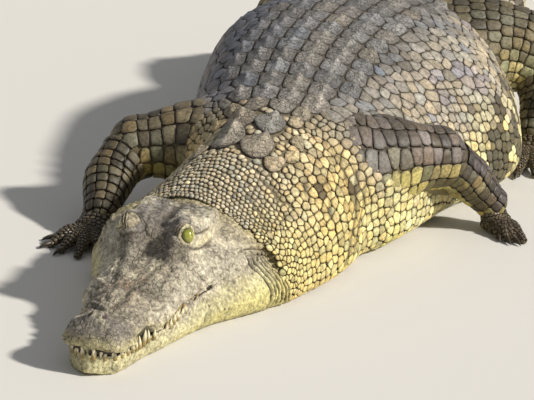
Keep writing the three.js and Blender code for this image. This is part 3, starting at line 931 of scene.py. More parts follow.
def big_seeds(rng):
    """Plates of the nape and the keeled rows of the back, which narrow and drop their outer plates towards
    the tail."""
    def columns(i, x):
        return x / BODY_CHART.around[int(i), :20].mean()

    big = []
    for s, x, long, wide, h, keel in NAPE_PLATES:
        i = (s - BODY_FRONT) / CHART_STEP
        plate = {"r": wide, "h": h, "keel": keel, "tilt": 2.0, "long": long / wide}
        big.append(sow([i], [columns(i, x)], square=12, cap=1.7, kind=NUCHAL, **plate))
    for row, s in enumerate(np.arange(SCUTES_FIRST, SCUTES_LAST, SCUTE_ROW)):
        spread = (4, 4, 6, 6)[min(row, 3)] if s < 2150 else 4
        pitch = 61 - 13 * smooth(s, 2000, SCUTES_LAST)
        offsets = (np.arange(spread) - (spread - 1) / 2) * pitch
        i = (s - BODY_FRONT) / CHART_STEP + rng.uniform(-0.25, 0.25, spread)
        edge = np.abs(offsets) > pitch * 2
        r = np.where(edge, 0.44, 0.53) * pitch * rng.uniform(0.94, 1.06, spread)
        low = 1 - 0.42 * math.exp(-(((s - 1780) / 290) ** 2))
        keel = np.where(edge, 11.0, 16.5) * rng.uniform(0.75, 1.12, spread) * low
        plates = {"r": r, "h": 3.0, "keel": keel, "tilt": 2.4, "long": 1.14}
        big.append(sow(i, columns(i[0], offsets), square=11, gap=2.0, kind=SCUTE, **plates))
    big = np.concatenate(big)
    big["j"] = big["j"] % COLUMNS
    return big


def body_seeds(rng):
    """All scales of neck, trunk and tail as one layout, so that neighbours of different kinds interlock."""
    c = BODY_CHART
    big = big_seeds(rng)

    def s_of(i):
        return BODY_FRONT + CHART_STEP * i

    def nape_edge(i):
        return 0.37 - 0.2 * smooth(s_of(i), 740, 900) + 0.03 * np.sin(i * 1.3)

    def flank_edge(i):
        return 0.37 + 0.04 * np.sin(i * 0.31) + 0.02 * np.sin(i * 1.7)

    def side_gap(at):
        return 16.5 + 5.5 * smooth(at, 120, 330)

    def rows(first, last, gap, wide, wanted, **spacing):
        i, j, r = bands(c, first, last, gap, wide, rng, **spacing)
        v = body_share(j)
        keep = wanted(i, j, v)
        return i[keep], j[keep], r[keep], v[keep], keep.sum()

    def in_nape(i, j, v):
        front = NECK_FRONT - 6 + (12 * np.sin(j * 0.9) + 8 * np.sin(j * 2.3 + 1)) * 0.4
        return (v < nape_edge(i)) & (s_of(i) > front) & (s_of(i) < 1092)

    long, wide = [lambda at, a=a, b=b: a + b * at for a, b in ((10.5, 0.021), (9.8, 0.018))]
    i, j, r, v, n = rows(44, 500, long, wide, in_nape, jitter=0.24)
    size = r * rng.uniform(0.8, 1.22, n)
    nape = sow(i, j, r=size, h=size * 0.6, keel=0, gap=1.1, square=7, cap=1.4, kind=NAPE)

    def in_side(i, j, v):
        return (v >= nape_edge(i)) & (v < 0.86) & (s_of(i) > NECK_FRONT - 4)

    i, j, r, v, n = rows(50, 500, side_gap, lambda at: 0.88 * side_gap(at), in_side, jitter=0.24)
    size = r * rng.uniform(0.72, 1.28, n)
    side = sow(i, j, r=size, h=4.8, keel=0.6, tilt=0.4, gap=1.3, square=14, kind=SIDE)
    side["cap"] = np.where(s_of(i) < NECK_FRONT + 18, 1.15, 2.2)

    i, j, r, v, n = rows(500, 1745, 36, 33, lambda i, j, v: v < flank_edge(i), jitter=0.27)
    size = r * rng.uniform(0.8, 1.25, n)
    keel = np.where(v < 0.3, 2.4, 0.6) * rng.uniform(0.2, 1.3, n)
    high = rng.uniform(2.4, 3.4, n)
    upper = sow(i, j, r=size, h=high, keel=keel, tilt=0.9, gap=1.0, square=20, cap=2.2, kind=FLANK)

    i, j, r, v, n = rows(500, 1745, 26, 24, lambda i, j, v: (v < 0.8) & (v >= flank_edge(i)), jitter=0.22)
    size = r * rng.uniform(0.75, 1.22, n)
    high = rng.uniform(2.9, 3.9, n)
    lower = sow(i, j, r=size, h=high, keel=0.3, tilt=0.6, gap=1.3, square=15, cap=2.2, kind=FLANK)
    flank = np.concatenate([upper, lower])

    def in_belly(i, j, v):
        return np.where(s_of(i) < 1100, v >= 0.86, v >= 0.8)

    i, j, r, v, n = rows(52, 1745, 31, 28, in_belly, stagger=0.0, jitter=0.05)
    belly = sow(i, j, r=r, h=3.2, square=16, kind=BELLY)

    long, wide = [lambda at, a=a, b=b: a - b * (at - 1745) for a, b in ((41, 0.0112), (27, 0.0074))]
    i, j, r, v, n = rows(1745, 3692, long, wide, lambda i, j, v: v >= 0, stagger=0.0, jitter=0.05)
    size = r * rng.uniform(0.92, 1.06, n)
    shrink = np.minimum(1, body_width(s_of(i)) / 60)
    tail = sow(i, j, r=size, h=3.4 * shrink, keel=2.6 * (v < 0.35) * shrink, tilt=1.2 * shrink, kind=TAIL)
    tail["square"] = 14
    tail["gap"] = 1.6 * np.maximum(shrink, 0.5)

    nape = thin_out(c, nape, big, 1.04)
    side = thin_out(c, side, big, 1.0)
    flank = thin_out(c, thin_out(c, flank, big, 0.98), nape, 0.5)
    tail = thin_out(c, tail, big)
    return np.concatenate([big, nape, side, flank, belly, tail])


def bare_tube(chart, depth, first=0.0, last=None, row_step=1, column_step=1, name=None):
    """Closed tube of skin from a chart, lowered by the scale depth, its two ends fanned shut."""
    last = chart.rows - 1 if last is None else last
    rows = np.unique(np.append(np.arange(first, last, row_step), last)).astype(float)
    columns = np.arange(0, chart.columns, column_step).astype(float)
    i, j = np.meshgrid(rows, columns, indexing="ij")
    level = -depth(i) if callable(depth) else np.full(i.shape, -depth)
    if name:
        level = level + swell(name, chart.at(i, j, np.zeros_like(i)))[0]
    p = chart.at(i, j, level)
    return closed_grid(p)


def closed_grid(p):
    """Faces for a grid of rings that wrap round, with both ends fanned shut."""
    n, m = p.shape[:2]
    points = np.concatenate([p.reshape(-1, 3), p[0].mean(0, keepdims=True), p[-1].mean(0, keepdims=True)])
    a = (np.arange(n - 1)[:, None] * m + np.arange(m)[None]).ravel()
    b = (np.arange(n - 1)[:, None] * m + (np.arange(m)[None] + 1) % m).ravel()
    quads = np.stack([a, b, b + m, a + m], -1)
    k = np.arange(m)
    start = np.stack([(k + 1) % m, k, np.full(m, n * m)], -1)
    end = np.stack([(n - 1) * m + k, (n - 1) * m + (k + 1) % m, np.full(m, n * m + 1)], -1)
    tris = np.concatenate([start, end])
    corners = points[quads]
    normal = np.cross(corners[:, 1] - corners[:, 0], corners[:, 2] - corners[:, 0])
    middle = p.mean(1)[np.repeat(np.arange(n - 1), m)]
    if (normal * (corners.mean(1) - middle)).sum() < 0:
        quads = quads[:, ::-1]
        tris = tris[:, ::-1]
    return {"points": points, "quads": quads, "tris": tris}


def fused(parts, voxel, rounds):
    """Closed tubes run together into one skin by a fine voxel grid, then eased by a few smoothing rounds."""
    start = 0
    points, faces = [], []
    for part in parts:
        faces += (part["quads"] + start).tolist() + (part["tris"] + start).tolist()
        points.append(part["points"])
        start += len(part["points"])
    mesh = bpy.data.meshes.new("fuse")
    mesh.from_pydata(metres(np.concatenate(points)).tolist(), [], faces)
    item = linked("fuse", mesh)
    grid = item.modifiers.new("Grid", "REMESH")
    grid.mode = "VOXEL"
    grid.voxel_size = voxel
    ease = item.modifiers.new("Ease", "SMOOTH")
    ease.factor = 0.5
    ease.iterations = rounds
    done = item.evaluated_get(bpy.context.evaluated_depsgraph_get()).to_mesh()
    out = values_of(done.vertices, "co", (3,), float)
    corners = values_of(done.loops, "vertex_index")
    sides = values_of(done.polygons, "loop_total")
    first = values_of(done.polygons, "loop_start")
    quads = corners[first[sides == 4][:, None] + np.arange(4)]
    tris = corners[first[sides == 3][:, None] + np.arange(3)]
    bpy.data.objects.remove(item)
    bpy.data.meshes.remove(mesh)
    return {"points": out * 1000 - ORIGIN, "quads": quads, "tris": tris.reshape(-1, 3)}


def nearest_column(p, s):
    """Column of the body chart that a point lies closest to, at its own place along the spine."""
    row = np.clip(np.round((s - BODY_FRONT) / CHART_STEP).astype(int), 0, BODY_CHART.rows - 1)
    best = np.empty(len(p), int)
    for a in range(0, len(p), 4000):
        ring = BODY_CHART.points[row[a : a + 4000]]
        best[a : a + 4000] = ((ring - p[a : a + 4000, None]) ** 2).sum(-1).argmin(1)
    return best


def skin_tone(p):
    """Markings of the bare skin between the scales, by whichever part lies nearest, taken towards the dark
    groove colour and darkened further as painted shade of the gaps.
    """
    s, _, _ = unplace(p)
    colour = body_markings(p, s, body_share(nearest_column(p, s)))
    best = np.abs(body_depth(p) + 5)
    for name, points in TUBES.items():
        d = np.abs(tube_depth(p, points) + 5)
        closer = (d < best)[:, None]
        centre, _, _ = tube_path(points, np.linspace(0, 1, 12))
        gap = p[:, None] - centre[None]
        pick = (gap**2).sum(-1).argmin(1)
        up = unit(gap[np.arange(len(p)), pick])[:, 2]
        colour = np.where(closer, limb_markings(name, p, up), colour)
        best = np.minimum(best, d)
    return blend(colour * 0.6, "groove", 0.45)


# Forms of the head, each (height, width, [(place, side, height), ...]); side is mirrored where marked.
BOTH, LEFT, RIGHT = 0, 1, -1
RIDGES = [
    (BOTH, 3.4, 9, [(196, 21, 106), (222, 14, 111), (246, 22, 115), (241, 43, 109), (226, 56, 100)]),
    (BOTH, -2.6, 5, [(221, 60, 96), (216, 66, 92), (226, 75, 88), (244, 80, 90)]),
    (RIGHT, 4.2, 7, [(240, 44, 109), (262, 60, 105), (284, 76, 100), (296, 88, 88)]),
    (RIGHT, -2.4, 5, [(232, 52, 105), (250, 66, 100), (266, 80, 92)]),
    (BOTH, 3.4, 7, [(142, 10, 101), (160, 30, 99), (178, 50, 92), (186, 64, 82)]),
    (BOTH, -2.2, 5, [(134, 16, 101), (148, 36, 97), (164, 52, 90)]),
    (BOTH, 3.2, 10, [(262, 30, 118), (300, 34, 126), (340, 40, 136), (376, 50, 152)]),
    (BOTH, 2.0, 7, [(300, 62, 120), (335, 66, 130), (368, 70, 146)]),
    (BOTH, 3.0, 5, [(392, 48, 184), (402, 72, 175), (430, 86, 171), (475, 93, 171), (520, 98, 170)]),
    (BOTH, -3.2, 4, [(392, 56, 172), (410, 80, 167), (445, 93, 163), (490, 100, 163)]),
    (BOTH, -6.5, 3.6, [(437, 78, 195), (455, 83, 192), (480, 88, 189), (512, 92, 186)]),
    (BOTH, 2.6, 5, [(436, 82, 202), (470, 89, 200), (515, 94, 196)]),
    (BOTH, -2.6, 2.0, [(350, 106, 78), (375, 111, 80), (397, 117, 86), (418, 122, 92), (440, 128, 97)]),
    (BOTH, -1.8, 3, [(440, 128, 97), (465, 138, 103), (503, 145, 116), (538, 150, 126)]),
    (BOTH, 2.4, 7, [(450, 126, 110), (480, 136, 116), (520, 142, 130), (560, 150, 138)]),
    (BOTH, -4.2, 2.6, [(538, 146, 133), (570, 152, 134), (602, 163, 128), (640, 176, 119)]),
    (BOTH, -3.0, 2.4, [(560, 156, 122), (596, 168, 117), (630, 178, 109)]),
    (BOTH, 2.6, 6, [(556, 150, 140), (600, 160, 137), (640, 172, 128)]),
    (BOTH, -0.9, 8, [(130, 0, 101), (205, 3, 108), (290, -2, 125), (370, 0, 148)]),
    (BOTH, 3.5, 12, [(428, 40, 205), (470, 52, 210), (540, 56, 211)]),
    (BOTH, -2.6, 14, [(440, 0, 200), (500, 0, 211), (560, 0, 211)]),
]
BOSSES = [
    # (place, side, height, reach, rise)
    (150, 64, 74, 19, 5.0), (262, 92, 82, 30, 4.0), (318, 100, 104, 26, 2.5), (30, 40, 92, 16, 3.0),
    (222, 34, 108, 22, 3.5), (60, 52, 96, 18, 2.5), (100, 44, 98, 16, 2.0), (345, 84, 128, 24, 2.5),
    (610, 188, 62, 62, 7.0), (540, 150, 60, 60, 4.0), (600, 90, 200, 40, 3.0), (470, 120, 150, 40, 3.5),
    (180, 76, 60, 14, 3.0), (300, 104, 62, 16, 2.5), (340, 110, 64, 16, 2.0), (20, 12, 30, 20, 2.0),
]
# Teeth of each row: (place, length, radius).
UPPER_TEETH = [
    (6, 13, 4.2), (16, 18, 4.8), (34, 15, 5.0), (52, 12, 4.6), (72, 16, 5.2), (94, 13, 4.8),
    (112, 9, 4.2), (222, 9, 4.0), (243, 13, 4.6), (261, 19, 5.2), (281, 16, 5.0), (301, 21, 5.4),
    (322, 14, 4.6), (342, 11, 4.2), (360, 8, 4.0), (380, 6, 3.4),
]
LOWER_TEETH = [
    (8, 21, 5.8), (25, 14, 4.6), (43, 15, 5.0), (62, 14, 4.6), (83, 15, 4.8), (103, 14, 4.6), (121, 16, 4.6),
    (139, 20, 5.0), (159, 26, 5.8), (179, 19, 4.8), (197, 13, 4.4), (252, 13, 4.4), (271, 15, 4.6),
    (291, 12, 4.4), (311, 10, 4.2), (331, 8, 4.0),
]


def gum_above(s):
    """Upper lip of the skin: raised in front, where the mouth stands open."""
    front = 14 * (1 - smooth(s, 96, 132)) + 7 * bell((s - 134) / 26)
    return upper_lip(s) + front + 22 * bell((s - 282) / 42) - 14 * bell((s - 330) / 22)


def gum_below(s):
    """Lower lip of the skin: raised a little in front and dipped at the two notches."""
    front = 2.5 * (1 - smooth(s, 96, 132))
    return lower_lip(s) + front - 3 * bell((s - 160) / 36) + 10 * bell((s - 285) / 48)


def head_outline(s):
    """Head ring at each place: over the top from the left lip to the right, in at the mouth, round under
    the jaw and in again; the top carries the nose mound, the brows and the flat skull table."""
    s = s[:, None]
    a = np.linspace(0, math.pi, 241)[None, :]
    w, lip, top, p = upper_width(s), gum_above(s), head_top(s), 2 / head_power(s)
    x = w * signed_power(np.cos(a), p)
    base = lip + (top - lip) * np.sin(a) ** p
    side = np.abs(x)
    nose = bell(x / NOSE["width"], (s - NOSE["s"]) / NOSE["length"])
    brow = bell((side - BROW["x"]) / BROW["rx"], (s - BROW["s"]) / BROW["rs"])
    across = 1 - smooth(side, TABLE["half"] - TABLE["soft"], TABLE["half"] + TABLE["soft"])
    along = smooth(s, TABLE["s0"] - TABLE["rise"], TABLE["s0"])
    along = along * (1 - smooth(s, TABLE["s1"], TABLE["s1"] + TABLE["fall"]))
    lift = np.maximum(TABLE["z"] - base, 0) * across * along
    relief = NOSE["height"] * nose + np.maximum(BROW["height"] * brow * (1 - along * across), lift)
    z = base + relief * smooth(np.sin(a), 0.05, 0.55)
    ux, uz = even_ring(x, z, UPPER_POINTS)

    a = math.pi + np.linspace(0, math.pi, 241)[None, :]
    w2, low = lower_width(s), gum_below(s)
    front = 1 - smooth(s, 0, 60)
    boxy = 2 / (JAW_POWER - 3.6 * front)
    edge = np.minimum(w2, w - 1)
    drop = (-np.sin(a)).clip(0, 1) ** boxy
    z = np.maximum(low - (low + SINK) * drop, 9 * (1 - smooth(s, 0, 42)))
    wide = edge + (w2 - edge) * smooth(drop, 0, 0.6)
    sag = body_sag(s) * smooth(s, 380, 660)
    x = wide * signed_power(np.cos(a), boxy) + sag * (1 - z / low)
    lx, lz = even_ring(x, z, LOWER_POINTS)

    mid = (lip + low) / 2
    deep = np.where(s < 400, 1.0, 1 - smooth(s, 400, 460))
    cleft = []
    for way, out_x, in_x in ((-1, ux[:, -1:], lx[:, :1]), (1, ux[:, :1], lx[:, -1:])):
        inner = way * np.maximum(np.abs(out_x) - 5 - 13 * deep, np.abs(out_x) * 0.3)
        rows = [
            (out_x - way * 1.5, lip - 1.2), (out_x - way * 4, lip + 0.4), (inner, mid + 1),
            (inner, mid - 1), (in_x - way * 4, low - 0.4), (in_x - way * 1.5, low + 1.2),
        ]
        rows = rows if way < 0 else rows[::-1]
        cleft.append((np.concatenate([r[0] for r in rows], 1), np.concatenate([r[1] for r in rows], 1)))
    xs = np.concatenate([ux, cleft[0][0], lx, cleft[1][0]], 1)
    tuck = 0.075 * bell((s - 440) / 120)
    xs = np.where(xs < 0, xs * (1 - tuck), xs)
    zs = np.concatenate([uz, cleft[0][1], lz, cleft[1][1]], 1)
    return xs, zs


UPPER_POINTS = 132
LOWER_POINTS = 84
HEAD_ROWS = np.concatenate([
    [0.6, 2, 4, 6.5, 9.5, 13, 16.5, 20], np.linspace(23.2, 556, 160), np.linspace(558.4, HEAD_BACK, 47),
])


def front_ease(q):
    """Relief fades out over the snout's very tip."""
    return smooth(q[:, 0], 0, 14)


def near_line(q, line, normal=None):
    """Distance from points to a broken line; with normals given, measured along the surface."""
    best = np.full(len(q), 1e9)
    line = np.array(line, float)
    for a, b in zip(line[:-1], line[1:]):
        t = np.clip(((q - a) @ (b - a)) / ((b - a) @ (b - a)), 0, 1)
        gap = q - a - t[:, None] * (b - a)
        if normal is not None:
            gap = gap - 0.85 * normal * (gap * normal).sum(1)[:, None]
        best = np.minimum(best, np.linalg.norm(gap, axis=1))
    return best


def eye_axes(side):
    """Gaze of an eye (out, forward, up) with its level and upright directions."""
    gaze = unit(np.array([side * 0.86, -0.28 - 0.12 * side, 0.34]))
    level = unit(np.cross(gaze, np.array([0, 0, 1.0])) * -side)
    upright = np.cross(gaze, level) * side
    return gaze, level, upright


def eye_way(side, rho, phi):
    """Directions from an eye's centre at angle rho from its gaze, turned by phi from its level."""
    gaze, level, upright = eye_axes(side)
    turned = level * np.cos(phi)[..., None] + upright * np.sin(phi)[..., None]
    return gaze * np.cos(rho)[..., None] + turned * np.sin(rho)[..., None]


def eye_centre(side):
    """Centre of an eyeball."""
    return place(EYE["s"], side * EYE["x"], EYE["z"])


# Lid opening of each eye as half angles along, up and down: the left wide open, the right nearly shut.
LIDS = {1: (1.3, 1.04, 1.12), -1: (0.8, 0.3, 0.42)}
ALMOND = 0.3
LID_REACH = 2.9
# Height of a lid over the eyeball, by the angle out from its edge.
LID_PROFILE = ([0, 0.03, 0.1, 0.2, 0.32, 0.5, 1.0, 2.5], [-1.5, 1.8, 4.2, 5.2, 4.6, 5.6, 8.0, 9.5])


def lid_angles(d, side):
    """Direction from the eye's centre as angles along and across the lids, with how far out of the
    lid opening it lies: 1 on the lid edge."""
    gaze, level, upright = eye_axes(side)
    rho = np.arccos(np.clip(d @ gaze, -1, 1))
    flat = np.stack([d @ level, d @ upright], -1)
    flat = flat / np.maximum(np.linalg.norm(flat, axis=-1, keepdims=True), 1e-6) * rho[..., None]
    wide, over, under = LIDS[side]
    return flat, np.hypot(flat[..., 0] / wide, flat[..., 1] / np.where(flat[..., 1] > 0, over, under))


# Spacing of the throat's folds behind the jaw.
FOLD_GAP = 15.5
# Sunken beds of gum round the two notches, darkened as painted shade of the recess: (place, reach, height,
# depth).
TOOTH_BEDS = [(158, 46, 15, 7.0), (287, 50, 10, 6.5)]


def head_skin():
    """Skin of head and jaw: the head's rings, pushed out and in along their normals by ridges, bosses,
    gum swellings at each tooth, wrinkles round the eyes and soft lumps; over each eye it wraps the
    eyeball and opens in an almond. Its grooves, creases, folds, tooth beds, nostrils, the rings round
    the eyes and the mouth gap are darkened as painted shade."""
    xs, zs = head_outline(HEAD_ROWS)
    q = np.stack([np.repeat(HEAD_ROWS[:, None], xs.shape[1], 1), xs, zs], -1)
    p = place(q[..., 0], xs, zs)
    normal = Chart(p).normal.reshape(-1, 3)
    shape = p.shape
    p = p.reshape(-1, 3)
    q = q.reshape(-1, 3)
    s, x, z = q.T
    mirror = q * np.array([1, -1, 1])
    outward = normal[:, [1, 0, 2]]
    out = np.zeros(len(q))
    # Painted shade in grooves, creases, folds and recesses, carried to the material as the edge value.
    dark = np.zeros(len(q))
    tint = np.ones(len(q))
    for which, rise, width, line in RIDGES:
        for side, r in ((LEFT, q), (RIGHT, mirror)):
            if which in (BOTH, side):
                facing = outward if side == LEFT else outward * np.array([1, -1, 1])
                fall = bell(near_line(r, line, facing) / width) * (r[:, 1] > -12)
                out += 1.6 * rise * fall
                if rise < 0:
                    dark = np.maximum(dark, fall * min(-rise / 3.5, 1))
    for *middle, reach, rise in BOSSES:
        for r in (q, mirror):
            out += 1.5 * rise * np.exp(-(((r - middle) / reach) ** 2).sum(1))
    lip_up, lip_low = gum_above(s), gum_below(s)
    upper = z > (lip_up + lip_low) / 2
    column = np.tile(np.arange(shape[1]), shape[0])
    mouth = ((column > UPPER_POINTS) & (column < UPPER_POINTS + 7)) | (column > shape[1] - 7)
    for teeth, lip, which in ((UPPER_TEETH, lip_up, upper), (LOWER_TEETH, lip_low, ~upper)):
        for place_s, length, radius in teeth:
            along = (s - place_s) / (radius * 1.5)
            above = (z - lip - np.where(which, 5, -5)) / 8
            out += 3.0 * bell(along, above) * which * ~mouth
    # The mouth gap is painted fully dark as shade.
    dark = np.where(mouth, 1.0, dark)
    rough = 1 - 0.6 * smooth(s, 560, 640)
    under = smooth(lip_low - z, 8, 30)
    out += noise(p, 27, 51) * 2.6 * (1 - 0.6 * under) * rough + noise(p, 12, 52) * 1.4 * (1 - 0.5 * under)
    crease = np.abs(noise(p * np.array([1, 0.8, 1]), 15, 55))
    out -= 1.5 * bell(crease / 0.09) * (1 - 0.7 * under)
    dark = np.maximum(dark, 0.35 * bell(crease / 0.05) * (1 - 0.7 * under))
    out += noise(p, 5.0, 53) * 0.4
    zone = (1 - 0.85 * under) * (0.3 + 0.7 * smooth(noise(p, 46, 57), -0.35, 0.25)) * ~mouth
    for size, depth, seed in ((21, 2.3, 3), (11, 1.3, 5)):
        gap, tag = cells(p * np.array([1, 0.8, 1]), size, seed)
        seam = bell(gap / 0.13) * zone
        out += ((tag - 0.5) * 1.3 * depth * smooth(gap, 0, 0.3) * zone - depth * seam) * front_ease(q)
        dark = np.maximum(dark, 0.62 * seam * smooth(tag, 0.15, 0.6))
        tint = tint * (1 + (tag - 0.5) * 0.34 * zone * (1 - 0.5 * under))
    slant = s + 3.5 * np.sin(z / 13) + 0.16 * (z - 70) + 3 * noise(p, 22, 58)
    step = (slant - 572) / FOLD_GAP
    jowl = smooth(slant, 560, 572) * smooth(np.abs(x), 128, 150) * (1 - smooth(z, 112, 126)) * ~mouth
    jowl = jowl * smooth(z, 6, 18)
    furrow = bell(np.abs(step - np.round(step)) * FOLD_GAP / 3.4) * jowl
    rung = (z + 23 * scatter(np.floor(step).astype(np.int64) + 900)) / 27
    notch = bell(np.abs(rung - np.round(rung)) * 27 / 3.4) * jowl
    out += 3.0 * jowl - 8.0 * furrow - 3.0 * notch
    dark = np.maximum(dark, np.maximum(1.3 * furrow, 0.8 * notch).clip(0, 1))
    # Each bed sinks and is darkened as painted shade.
    for at, reach, high, depth in TOOTH_BEDS:
        bed = np.exp(-(((s - at) / reach) ** 6)) * smooth(z, lip_low - 3, lip_low + 3)
        bed = bed * (1 - smooth(z, lip_up + high - 5, lip_up + high)) * ~mouth
        out -= depth * bed
        dark = np.maximum(dark, 0.9 * bed)
    front = smooth(s, 0, 8)
    for side in (-1, 1):
        around = np.hypot((s - 44) / 1.35, (x * side - 14) / 0.85)
        top = smooth(z, 84, 96)
        out += 3.0 * bell((around - 9) / 3.2) * top
        # Nostril slits sink and are darkened as painted shade.
        slit = bell(np.hypot((s - 45) / 1.9, x * side - 15) / 3.4) * top
        out -= 7.0 * slit
        dark = np.maximum(dark, (1.3 * slit).clip(0, 1))
    p = p + normal * (out * front)[:, None]
    for side in (-1, 1):
        centre = eye_centre(side)
        d = p - centre
        far = np.linalg.norm(d, axis=1)
        way = d / np.maximum(far, 1e-6)[:, None]
        angles, f = lid_angles(way, side)
        reach = 62.0
        gap = np.abs(far - EYE["r"] - 7.0)
        fillet = np.where(gap < reach, (reach - gap) ** 2 / (4 * reach), 0)
        p = p + normal * (fillet * smooth(f, 1.0, 1.5))[:, None]
        # A sunken ring round each eye, darkened as painted shade, deeper on the nearly shut right eye.
        ring = bell((far - EYE["r"] - 12) / 3.0) + 0.6 * bell((far - EYE["r"] - 20) / 2.5)
        p = p - normal * (1.6 * ring)[:, None]
        depth = 0.5 if side > 0 else 0.95
        dark = np.maximum(dark, depth * ring * smooth(far, EYE["r"] + 4, EYE["r"] + 9))
        inside = (far < EYE["r"] + 12) & (f < 1.3)
        p = np.where(inside[:, None], centre + way * np.minimum(far, EYE["r"] - 4.5)[:, None], p)
    p[:, 2] = np.maximum(p[:, 2], 0)
    part = closed_grid(p.reshape(shape))
    rim = np.concatenate([q, q[:1], q[-1:]])
    part["tone"] = head_tone(part["points"], rim) * np.append(tint, [1, 1])[:, None]
    # Painted shade: the mouth gap darkened to a near-black brown.
    part["tone"] = blend(part["tone"], "2a1a12", np.append(0.85 * mouth, [0, 0]))
    part["edge"] = np.append(dark, [0, 0])
    return part


def head_tone(p, q):
    """Colours of the head: mud-dusted grey-tan above, cream-yellow lips, jaw and throat, a cooler skull
    table, brown stains in patches; painted shade cools and darkens the right side, the nose mound and the
    inner side of each eye mound, and painted light pales the rear of the left side."""
    s, x, z = q[:, 0], q[:, 1], q[:, 2]
    side = np.abs(x)
    above, under = z - gum_above(s), gum_below(s) - z
    patch = noise(p, 45, 61) * 0.6 + noise(p, 16, 62) * 0.5
    # Pale cheeks on both sides; the second term lightens the rear of the left side as painted light.
    cheek = smooth(side, 46, 84) * smooth(s, 150, 260) + smooth(s, 440, 520) * smooth(x, 10, 60)
    # The nose mound is darkened to grey as painted shade.
    mound = bell((s - 46) / 48) * smooth(z, 74, 96)
    brown = bell((s - 250) / 75, (x - 6) / 42) * smooth(noise(p, 30, 67), -0.4, 0.3)
    # Painted shade on the inner side of each eye mound.
    socket = bell(np.hypot(s - EYE["s"] + 12, (side - 30) / 0.7) / 30) * smooth(z, 130, 165)
    lips = (1 - smooth(above + 7 * noise(p, 18, 63), 4, 30)) * (1 - smooth(s, 150, 330))
    under_eye = bell((s - 470) / 60, (z - 176) / 9) * smooth(side, 50, 70)
    behind = smooth(s, 520, 610) * smooth(side, 40, 90)
    below = smooth(under + 9 * noise(p, 25, 64), -8, 14)
    jaw = painted(
        "b3aa94",
        ("jaw", smooth(under + 10 * noise(p, 22, 68), 2, 34)),
        ("jaw", 1 - smooth(s, 130, 330)),
    )
    stain = smooth(noise(p, 48, 65) + 0.35 * noise(p, 13, 69), 0.1, 0.8)
    specks = smooth(noise(p, 8, 70), 0.62, 0.8) * below
    return painted(
        "snout",
        # Painted shade: the right side takes the cooler, darker crown tone.
        ("crown", 0.75 * smooth(z, 170, 205) + 0.35 * smooth(-x, 0, 60)),
        ("b6ae9a", 0.85 * np.clip(cheek, 0, 1)),
        ("706a68", 0.6 * mound),
        ("cfc5aa", 0.5 * smooth(patch, 0.1, 0.6)),
        ("6b5e50", 0.45 * smooth(-patch, 0.1, 0.6)),
        ("86705c", 0.7 * brown * smooth(z, 70, 95)),
        ("4a4448", 0.36 * socket),
        ("lip", 0.55 * lips),
        ("cdbf92", 0.6 * under_eye),
        ("9f9272", 0.55 * behind),
        (jaw, below),
        ("ada076", 0.4 * stain * below),
        ("5a4f36", 0.5 * specks),
        ("belly", 0.35 * smooth(under, 30, 60)),
        ("neck", 0.5 * smooth(s + noise(p, 30, 66) * 14, 600, 655)),
    )


def lids():
    """Eyelids: a dome about each eyeball that starts on the ball at the opening's edge, rolls over a pale
    rounded rim, carries rings of folds, and sinks under the skin all round. Rings follow the opening's
    edge first and a circle about the gaze last. The troughs of the folds and the lid's underside at the
    ball are darkened as painted shade."""
    parts = []
    for side in (-1, 1):
        centre = eye_centre(side)
        phi = full_turn(88)[:, None]
        w = np.linspace(0, 1, 30)[None] ** 1.35
        wide, over, under = LIDS[side]
        edge_x, edge_y = wide * np.cos(phi), np.where(np.sin(phi) > 0, over, under) * np.sin(phi)
        edge_y = edge_y * np.abs(np.sin(phi)) ** ALMOND
        start = np.hypot(edge_x, edge_y)
        rho = start + (LID_REACH - start) * w
        way = eye_way(side, rho, np.arctan2(edge_y, edge_x))
        off = rho - start
        lid = np.interp(off, *LID_PROFILE)
        bent = off + 0.07 * noise(centre + way * 18, 9, 83)
        fold = np.cos(bent * (2 * math.pi / 0.27)) * smooth(off, 0.16, 0.3) * (1 - smooth(off, 0.7, 1.25))
        lid = lid + (1.0 if side > 0 else 1.9) * fold + 0.6 * noise(centre + way * 18, 4.5, 81)
        lid = lid + 0.3 * np.cos(phi * 21) * (off < 0.3)
        lid = lid - 14.0 * smooth(w + phi * 0, 0.9, 1.0)
        p = centre + way * (EYE["r"] + lid)[..., None]
        inside = centre + way * (EYE["r"] - 3.0)
        ring = np.concatenate([p, inside[:, -1:], inside[:, :1]], 1)
        n, m = ring.shape[:2]
        points = ring.reshape(-1, 3)
        here = np.arange(n)[:, None] * m
        there = ((np.arange(n) + 1) % n)[:, None] * m
        k = np.arange(m)[None]
        after = (k + 1) % m
        quads = np.stack([here + k, there + k, there + after, here + after], -1).reshape(-1, 4)
        corners = points[quads]
        normal = np.cross(corners[:, 1] - corners[:, 0], corners[:, 2] - corners[:, 0])
        tops = np.tile(np.arange(m) < m - 3, n)
        if (normal * (corners.mean(1) - centre))[tops].sum() < 0:
            quads = quads[:, ::-1]
        hood = head_tone(p.reshape(-1, 3), np.stack(unplace(p.reshape(-1, 3)), -1)).reshape(p.shape)
        hood = blend(hood, "9c8f74", 0.35)
        pale = bell((off - 0.15) / 0.12)
        # Painted shade in the troughs of the lid folds, deeper on the right eye.
        crease = smooth(-fold, 0.2, 0.9) * (0.8 if side > 0 else 1.0)
        hood = hood if side > 0 else blend(hood, "b9ac8c", 0.5)
        tone = blend(blend(hood, "3a3024", crease), "cfc59a", 0.75 * pale)
        # The lid's underside at the ball is darkened as painted shade.
        tone = np.concatenate([tone, tone[:, -1:], tone[:, :1] * 0.4], 1)
        parts.append({
            "points": points, "quads": quads, "tris": np.zeros((0, 3), int),
            "tone": tone.reshape(-1, 3), "edge": np.zeros(len(points)),
        })
    return parts


